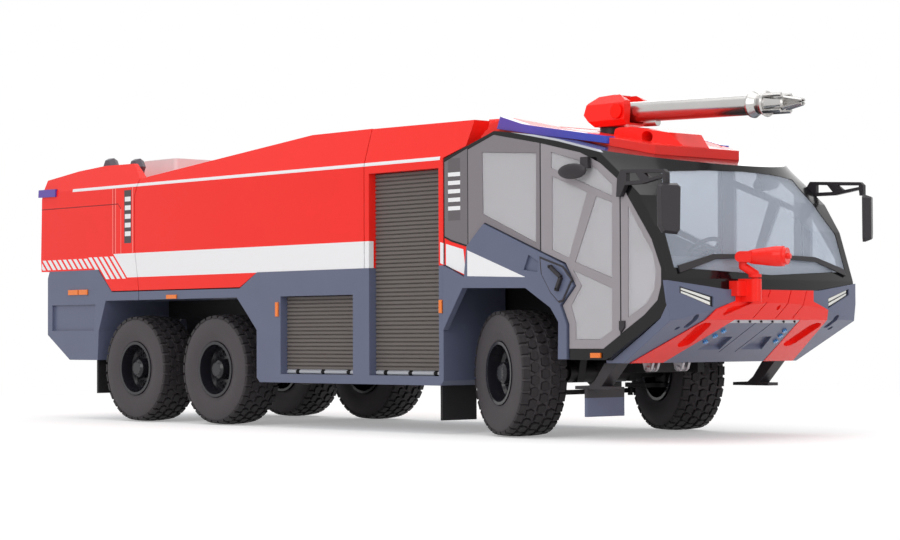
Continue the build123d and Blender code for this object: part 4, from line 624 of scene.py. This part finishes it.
rear_red = red_paint("rear_red", rear_livery)
tank_red = red_paint("tank_red", stripes)
corner_red = red_paint("corner_red", corner_print)
plain_red = red_paint("plain_red")
dress(rear_red, "rear_module")
dress(tank_red, "tank_body", "pump_module")
dress(corner_red, "rear_corner_panels")
dress(plain_red, "roof_plate", "bumper_middle", "monitor_housing", "bumper_monitor_base",
      "bumper_monitor_neck", "bumper_monitor_head")

# Roof box and lamps. A milky white moulding glued in the rear deck, and two dark grey six-sided
# lamps moulded with the posts that plug into the roof.
box_white = finish("box_white", shade(236, 234, 236), 0.35)
dark_grey = finish("dark_grey", shade(92, 90, 98), 0.4)
dress(box_white, "roof_box")
dress(dark_grey, "roof_caps")

# Cab frame. Gloss black plastic pillars, sills and gutter, polished in the mould and clipped on
# the chassis; a pale line along the roof's edge is a painted highlight.
rear_slope, front_slope = (-0.195, 91.25), (-0.2485, 96.11)
gutter_highlight, gutter_height, gutter_y, gutter_rear = shade(196, 198, 206), 0.5, 33.9, 64.0


def gutter_highlight_print(x, y, z, base):
    """A painted highlight under the lamps follows the lower of the roof's two slopes."""
    heights = [x * slope + height for slope, height in (rear_slope, front_slope)]
    edge = x.maths("MINIMUM", *heights)
    line = (edge - z < gutter_height) * (abs(y) > gutter_y) * (x > gutter_rear)
    return line.over(base, gutter_highlight)


gloss_black = finish("gloss_black", shade(20, 19, 22), 0.16, coat=0.12, mottle=0.02, grain=0.003,
                     shine=0.25, pattern=gutter_highlight_print)
dress(gloss_black, "cab_frame")

# Printed glass frames: doors, side and quarter panels. Clear plastic printed in a warm grey that
# leaves the panes bare.
door_rear, side_panel_rear = 85.1, 58.6
side_panel_grey, quarter_grey = shade(130, 124, 129), shade(114, 109, 113)
quarter_dark = shade(98, 93, 96)
bars_x, dark_panel_z, bars_z = (51.2, 55.8), (55.0, 71.0), (57.6, 67.6)
bar_foot, bars_pitch, bar_height = 57.62, 2.18, 1.04


def frame_print(x, y, z, base):
    """The grey is darker towards the rear, and five white bars stand on the rear quarter panel."""
    shaded = (x < door_rear).over(base, side_panel_grey)
    shaded = (x < side_panel_rear).over(shaded, quarter_grey)
    column = between(x, *bars_x)
    bars = column * between(z, *bars_z) * ((z - bar_foot) % bars_pitch < bar_height)
    return bars.over((column * between(z, *dark_panel_z)).over(shaded, quarter_dark), white)


panel_grey = finish("panel_grey", shade(156, 150, 155), 0.3, coat=0.1, pattern=frame_print)
dress(panel_grey, "rear_quarter_panels", "rear_side_panels", "doors", "front_quarter_panels")

# Panes and windscreen. Clear polystyrene, the windscreen with a cool tint, set in the openings of
# the frames; both carry a thin gloss.
haze_scale, haze_detail, haze_share = 70.0, 2.0, 0.02
gloss_roughness, gloss_spread, rim_blend, rim_share = 0.03, 0.04, 0.25, 0.3


def pane(name, tint, film, gloss):
    """See-through plastic: light goes straight through its tint, and a film of gloss lies on it."""
    material, tree = blank_material(name)
    clear = tree.nodes.new("ShaderNodeBsdfTransparent")
    clear.inputs["Color"].default_value = tint
    shine = tree.nodes.new("ShaderNodeBsdfPrincipled")
    shine.inputs["Base Color"].default_value = film
    both = tree.nodes.new("ShaderNodeMixShader")
    out = tree.nodes.new("ShaderNodeOutputMaterial")
    place = Wire(tree, tree.nodes.new("ShaderNodeTexCoord").outputs["Object"])
    haze = place.add("ShaderNodeTexNoise", {},
                     {"Vector": place, "Scale": haze_scale, "Detail": haze_detail})
    rim = place.add("ShaderNodeLayerWeight", {}, {"Blend": rim_blend}, output=1)
    tree.links.new((haze * gloss_spread + gloss_roughness).socket, shine.inputs["Roughness"])
    tree.links.new((rim * rim_share + haze * haze_share + gloss).socket, both.inputs[0])
    tree.links.new(clear.outputs[0], both.inputs[1])
    tree.links.new(shine.outputs[0], both.inputs[2])
    tree.links.new(both.outputs[0], out.inputs["Surface"])
    return material


clear_pane = pane("clear_pane", (0.98, 0.98, 0.99, 1.0), shade(240, 238, 242), 0.34)
tinted_pane = pane("tinted_pane", (0.92, 0.96, 1.0, 1.0), shade(228, 236, 250), 0.2)
dress(clear_pane, "rear_side_glass", "door_glass", "front_quarter_glass")
dress(tinted_pane, "windscreen")

# Cab inside. Seats, dashboard, floor and wheel are one-colour mouldings, plugged together and seen
# through the panes.
seat_grey = finish("seat_grey", shade(148, 147, 150), 0.6)
cab_black = finish("cab_black", shade(38, 37, 40), 0.45)
dash_grey = finish("dash_grey", shade(122, 120, 126), 0.5)
dress(seat_grey, "seats")
dress(dash_grey, "dashboard")
dress(cab_black, "cab_floor", "steering_wheel")

# Lamps. Small clear-coloured mouldings glued in place: blue beacons, red tail lamps, orange
# side markers and bright headlamps.


rib_pitch, rib_width = 0.8, 0.3


def lens(name, colour, deep, shift=None):
    """A coloured lens with fine ribs across it; a shift gives part of it another colour."""

    def ribs(x, y, z, base):
        shown = shift(x, y, z, base) if shift else base
        return ((x + y + z) % rib_pitch < rib_width).over(shown, deep)

    return finish(name, colour, 0.12, coat=0.4, mottle=0.05, grain=0.002, pattern=ribs)


bright_blue, pale_blue = shade(24, 84, 224), shade(84, 176, 232)
blue_begins, blue_full, bumper_top = 76.0, 98.0, 40.0


def beacon_colours(x, y, z, base):
    """Violet at the rear of the strips, bright blue at their front, and pale blue in the bumper."""
    run = x.add("ShaderNodeMapRange", {},
                {"Value": x, "From Min": blue_begins, "From Max": blue_full})
    return (z < bumper_top).over(run.over(base, bright_blue), pale_blue)


blue_lens = lens("blue_lens", shade(106, 64, 168), shade(60, 60, 170), beacon_colours)
red_lens = lens("red_lens", shade(204, 22, 26), shade(170, 16, 22))
orange_lens = lens("orange_lens", shade(255, 134, 46), shade(240, 112, 34))
dress(blue_lens, "beacon_strips", "corner_beacons")
dress(red_lens, "rear_lamps")
dress(orange_lens, "side_markers")


lamp_foot, lamp_height = (0.3366, 24.66), (-0.099, 4.63)
lower_bar, upper_bar, bar_half, bar_ends = 0.27, 0.74, 0.15, (22.2, 30.9)


def headlamp_print(x, y, z, base):
    """Two bright bars run along each slanting lamp; the rest of it is black."""
    out = abs(y)
    foot, height = (out * slope + start for slope, start in (lamp_foot, lamp_height))
    part = (z - foot) / height
    bars = line_at(part, lower_bar, bar_half) + line_at(part, upper_bar, bar_half)
    bright = bars * between(out, *bar_ends)
    return (bright < 0.5).over(base, deep_black)


lamp_white = finish("lamp_white", shade(250, 250, 244), 0.15, coat=0.5, pattern=headlamp_print)
dress(lamp_white, "headlights")

# Mirrors, wipers, monitor swivel and flaps. Satin black plastic clipped to the cab and its roof,
# and soft black flaps behind the wheels.
satin_black = finish("satin_black", shade(52, 49, 52), 0.4)
flap_black = finish("flap_black", shade(40, 38, 40), 0.6)
dress(satin_black, "mirrors", "wipers", "monitor_swivel")
dress(flap_black, "mud_flaps")

# Monitor barrel. Turned and plated: a bright tube with a collar and prongs at its mouth, held
# between the housing's cheeks by two discs.
disc_inner_y, discs_front = 4.9, 90.0


def disc_print(x, y, z, base):
    """The discs on the trunnions are sprayed with the housing."""
    return ((abs(y) > disc_inner_y) * (x < discs_front)).over(base, red)


bright_metal = finish("bright_metal", shade(196, 194, 192), 0.24, metallic=1.0, mottle=0.06,
                      pattern=disc_print)
dress(bright_metal, "monitor_barrel")

# Oval mirrors. One on each side hangs outside the quarter window from a bracket at the roof's
# edge, and a smaller one inside it; all are black mouldings.


oval_rows, oval_columns, oval_half_depth = 12, 24, 0.8


def oval(middle, half_length, half_height, turn):
    """A smooth closed oval, turned about the upright axis."""
    points = [(0.0, 0.0, half_height), (0.0, 0.0, -half_height)]
    for row in range(1, oval_rows):
        tilt = math.pi * row / oval_rows
        for x, y in round_outline(math.sin(tilt), oval_columns):
            points.append((x * half_length, y * oval_half_depth, math.cos(tilt) * half_height))
    faces = []
    rows = [range(start, start + oval_columns) for start in range(2, len(points), oval_columns)]
    for column in range(oval_columns):
        after = (column + 1) % oval_columns
        faces.append((0, rows[0][column], rows[0][after]))
        faces.append((1, rows[-1][after], rows[-1][column]))
        faces += [(here[column], under[column], under[after], here[after])
                  for here, under in zip(rows, rows[1:])]
    spin = Matrix.Rotation(math.radians(turn), 4, "Z")
    placed = [Vector(middle) + spin @ Vector(point) for point in points]
    piece = new_piece("oval", placed, faces, satin_black)
    for face in piece.data.polygons:
        face.use_smooth = True
    return piece


cab_ovals = [
    # x, distance from the middle plane, z, half length, half height, turn
    (98.1, 36.6, 65.1, 4.4, 1.9, 6.0),
    (101.2, 29.9, 64.4, 3.0, 1.9, 12.0),
]
mirror_brackets = [
    # x, distance from the middle plane, foot z, top z
    (101.6, 35.6, 65.6, 68.4),
    (101.2, 30.4, 65.6, 68.6),
]
sides = ((-1, "right"), (1, "left"))
bracket_outline, bracket_draft = [(-1.4, -0.6), (1.4, -0.6), (1.4, 0.6), (-1.4, 0.6)], 0.2
for side, corner in sides:
    hung = []
    for x, y, z, half_length, half_height, turn in cab_ovals:
        hung.append(oval((x, side * y, z), half_length, half_height, -side * turn))
    for x, y, foot, top in mirror_brackets:
        bracket, faces = prism(bracket_outline, foot, top, bracket_draft)
        hung.append(new_piece("bracket", [(x + a, side * y + b, z) for a, b, z in bracket], faces,
                              satin_black))
    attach(joined("cab_mirrors_" + corner, hung), "truck")

# Screws and bolts. Small six-sided heads cast on the bumper plate, the rear box and the axle
# brackets, and painted black.


def head_tree(name):
    """Geometry Nodes that set a six-sided head on each point of a mesh, turned the same way."""
    tree = blank_tree(name, [("Radius", "Float"), ("Height", "Float"), ("Turn", "Float"),
                             ("Finish", "Material")])
    given, end = tree.nodes.new("NodeGroupInput"), tree.nodes.new("NodeGroupOutput")
    head = tree.nodes.new("GeometryNodeMeshCylinder")
    head.inputs["Vertices"].default_value = nut_corners
    spin = tree.nodes.new("ShaderNodeCombineXYZ")
    spots = tree.nodes.new("GeometryNodeInstanceOnPoints")
    whole = tree.nodes.new("GeometryNodeRealizeInstances")
    painted = tree.nodes.new("GeometryNodeSetMaterial")
    for source, target in (
        (given.outputs["Radius"], head.inputs["Radius"]),
        (given.outputs["Height"], head.inputs["Depth"]),
        (given.outputs["Turn"], spin.inputs["Y"]),
        (given.outputs["Geometry"], spots.inputs["Points"]),
        (head.outputs["Mesh"], spots.inputs["Instance"]),
        (spin.outputs[0], spots.inputs["Rotation"]),
        (spots.outputs[0], whole.inputs[0]),
        (whole.outputs[0], painted.inputs["Geometry"]),
        (given.outputs["Finish"], painted.inputs["Material"]),
        (painted.outputs[0], end.inputs[0]),
    ):
        tree.links.new(source, target)
    return tree


heads_at = head_tree("heads_at_points")
head_sets = [
    # name, turn about Y, radius, height, points
    ("bumper_plate_bolts", 149.2, 0.32, 0.5,
     [(127.9, y, 28.55) for y in (-10.4, -6.2, -2.0, 2.2, 6.4, 10.6)]),
    ("rear_box_bolts", 90.0, 0.45, 0.6,
     [(-137.6, y, z) for y in (-26.0, 26.0) for z in (29.0, 41.0)]),
    ("bracket_bolts", 0.0, 0.5, 0.8,
     [(x, y, 30.9) for x in (-101.0, -79.0, -60.8, -38.8) for y in (-9.8, 9.8)]),
]
for name, turn, radius, height, places in head_sets:
    spots = new_piece(name, places, [])
    heads = grown(spots, heads_at, Radius=radius * MM, Height=height * MM, Turn=math.radians(turn),
                  Finish=rim_black)
    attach(heads, "truck")

# Door hinge blocks and tow lugs. Black blocks at the doors' front edges, and plated lugs with a
# pin each under the bumper's sill.
hinge_outline = [(112.3, 25.9), (113.6, 27.2), (113.6, 28.9), (111.7, 28.9), (111.7, 26.6)]
hinge_y, hinge_draft = (34.3, 34.95), 0.15
for side, corner in sides:
    block, faces = prism(hinge_outline, *hinge_y, hinge_draft)
    piece = new_piece("door_hinge_" + corner, [(x, side * z, y) for x, y, z in block], faces,
                      satin_black)
    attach(piece, "truck")

plated = finish("plated", shade(176, 172, 176), 0.3, metallic=0.7)
lug_outline = [(-1.7, 0.0), (-1.2, -1.6), (-0.5, -2.2), (0.5, -2.2), (1.2, -1.6), (1.7, 0.0)]
lug_places, cheek_places, cheek_thickness, cheek_draft = (-20.0, -9.0), (-1.4, 0.6), 0.8, 0.1
lug_x, sill_z = 108.4, 18.72
pin_z, pin_radius, pin_corners, pin_half, pin_draft = 17.4, 0.55, 10, 1.9, 0.08
lugs_cast = []
for y in lug_places:
    parts = [(lug_outline, y + shift, y + shift + cheek_thickness, cheek_draft, sill_z)
             for shift in cheek_places]
    pin = round_outline(pin_radius, pin_corners)
    parts.append((pin, y - pin_half, y + pin_half, pin_draft, pin_z))
    for outline, low, high, draft, height in parts:
        flat, faces = prism(outline, low, high, draft)
        lugs_cast.append(new_piece("lug_part", [(x + lug_x, across, up + height)
                                                for x, up, across in flat], faces, plated))
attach(joined("tow_lugs", lugs_cast), "truck")

# Grab panels. A seven-sided plate screwed on each fender's front end, dark along its rim, with a
# bent bar handle across it.
panel_outline = [(85.25, 44.93), (93.5, 42.37), (96.74, 38.89), (93.44, 33.63), (91.99, 33.31),
                 (89.1, 35.75), (85.71, 40.63)]
panel_shrink, fender_side_y = 0.9, 35.1
handle_path = [(89.6, 42.3), (93.4, 39.6), (91.9, 36.6)]
handle_y, handle_half, foot_half, foot_low_y = 35.95, 0.42, 0.4, 35.3


def shrunk(outline, share):
    """The outline drawn in towards its middle."""
    mid_x = sum(p[0] for p in outline) / len(outline)
    mid_z = sum(p[1] for p in outline) / len(outline)
    return [(mid_x + (x - mid_x) * share, mid_z + (z - mid_z) * share) for x, z in outline]


grab_parts = [
    # outline, inner and outer distance from the middle plane, draft, material
    (panel_outline, 35.0, 35.22, 0.05, satin_black),
    (shrunk(panel_outline, panel_shrink), fender_side_y, 35.4, 0.05, body_grey),
]
for (x1, z1), (x2, z2) in zip(handle_path, handle_path[1:]):
    length = math.hypot(x2 - x1, z2 - z1)
    off_x, off_z = (z1 - z2) / length * handle_half, (x2 - x1) / length * handle_half
    bar = [(x1 + off_x, z1 + off_z), (x2 + off_x, z2 + off_z), (x2 - off_x, z2 - off_z),
           (x1 - off_x, z1 - off_z)]
    grab_parts.append((bar, handle_y - handle_half, handle_y + handle_half, 0.06, satin_black))
for x, z in handle_path[::2]:
    foot = [(x + a * foot_half, z + b * foot_half) for a, b in ((-1, -1), (1, -1), (1, 1), (-1, 1))]
    grab_parts.append((foot, foot_low_y, handle_y + handle_half, 0.05, satin_black))
for side, corner in sides:
    layers = []
    for outline, low, high, draft, material in grab_parts:
        flat, faces = prism(outline, low, high, draft)
        placed = [(x, side * y, z) for x, z, y in flat]
        layers.append(new_piece("grab_part", placed, faces, material))
    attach(joined("grab_panel_" + corner, layers), "truck")

# Studio: a white paper sweep and soft lamps round the model, and the camera where the photograph's
# was.


def straight_view(tree):
    """A wire that is 1 where the backdrop itself is seen, also in a mirror or through glass."""
    rays = tree.nodes.new("ShaderNodeLightPath")
    kinds = ("Is Camera Ray", "Is Glossy Ray", "Is Transmission Ray")
    return sum((Wire(tree, rays.outputs[kind]) for kind in kinds), 0.0) > 0.5


sky_light, seen_light = 0.55, 1.0
world = bpy.data.worlds.new("studio")
bpy.context.scene.world = world
world.use_nodes = True
sky = world.node_tree
sky.nodes.clear()
glow = sky.nodes.new("ShaderNodeBackground")
glow.inputs["Color"].default_value = (1.0, 1.0, 1.0, 1.0)
brightness = straight_view(sky) * (seen_light - sky_light) + sky_light
sky.links.new(brightness.socket, glow.inputs["Strength"])
sky_out = sky.nodes.new("ShaderNodeOutputWorld")
sky.links.new(glow.outputs[0], sky_out.inputs["Surface"])

paper_half, paper_z, paper_white = 3000.0, -0.02, (0.82, 0.82, 0.82, 1.0)
near_lift, far_light, fade_from, fade_to = 0.3, 0.5, 0.2, 0.42
floor = new_piece("floor", [(x * paper_half, y * paper_half, paper_z)
                            for x, y in ((-1, -1), (1, -1), (1, 1), (-1, 1))], [(0, 1, 2, 3)])
floor_white, ground = blank_material("floor_white")
spot = Wire(ground, ground.nodes.new("ShaderNodeTexCoord").outputs["Object"])
paper = ground.nodes.new("ShaderNodeBsdfDiffuse")
paper.inputs["Color"].default_value = paper_white
lift = ground.nodes.new("ShaderNodeEmission")
far = ground.nodes.new("ShaderNodeEmission")
visible = straight_view(ground)
ground.links.new((visible * near_lift).socket, lift.inputs["Strength"])
ground.links.new((visible * (1 - far_light) + far_light).socket, far.inputs["Strength"])
near = ground.nodes.new("ShaderNodeAddShader")
ground.links.new(paper.outputs[0], near.inputs[0])
ground.links.new(lift.outputs[0], near.inputs[1])
distance = spot.add("ShaderNodeVectorMath", {"operation": "LENGTH"}, {0: spot}, output=1)
fade = spot.add("ShaderNodeMapRange", {"interpolation_type": "SMOOTHSTEP"},
                {"Value": distance, "From Min": fade_from, "From Max": fade_to})
sweep = ground.nodes.new("ShaderNodeMixShader")
ground.links.new(fade.socket, sweep.inputs[0])
ground.links.new(near.outputs[0], sweep.inputs[1])
ground.links.new(far.outputs[0], sweep.inputs[2])
ground_out = ground.nodes.new("ShaderNodeOutputMaterial")
ground.links.new(sweep.outputs[0], ground_out.inputs["Surface"])
floor.data.materials.append(floor_white)

soft_lamps = [
    # name, place, size, power
    ("overhead", (0.0, 0.0, 0.9), 1.1, 3.4),
    ("key", (0.35, -0.95, 0.55), 0.8, 3.6),
    ("front", (1.1, -0.1, 0.35), 0.7, 1.6),
    ("back", (-0.7, 0.8, 0.6), 0.8, 1.8),
]
aim = Vector((0, 0, 0.03))
for name, place, size, power in soft_lamps:
    lamp_data = bpy.data.lights.new(name, "AREA")
    lamp_data.shape = "DISK"
    lamp_data.size = size
    lamp_data.energy = power
    lamp = bpy.data.objects.new(name, lamp_data)
    bpy.context.scene.collection.objects.link(lamp)
    lamp.location = place
    lamp.rotation_euler = (aim - Vector(place)).to_track_quat("-Z", "Y").to_euler()

camera_data = bpy.data.cameras.new("camera")
camera_data.lens = 92.85
camera_data.sensor_width = 36.0
camera_data.clip_start = 0.01
camera_data.clip_end = 20.0
camera = bpy.data.objects.new("camera", camera_data)
bpy.context.scene.collection.objects.link(camera)
right, up = (0.67306, 0.73958, -0.00408), (0.02359, -0.01596, 0.99959)
ahead = (-0.73921, 0.67288, 0.02819)
spot_of_camera = (492.49 * MM, -435.63 * MM, 25.53 * MM)
camera.matrix_world = Matrix([
    (right[row], up[row], -ahead[row], spot_of_camera[row]) for row in range(3)
] + [(0.0, 0.0, 0.0, 1.0)])
bpy.context.scene.camera = camera
bpy.context.scene.view_settings.view_transform = "Standard"
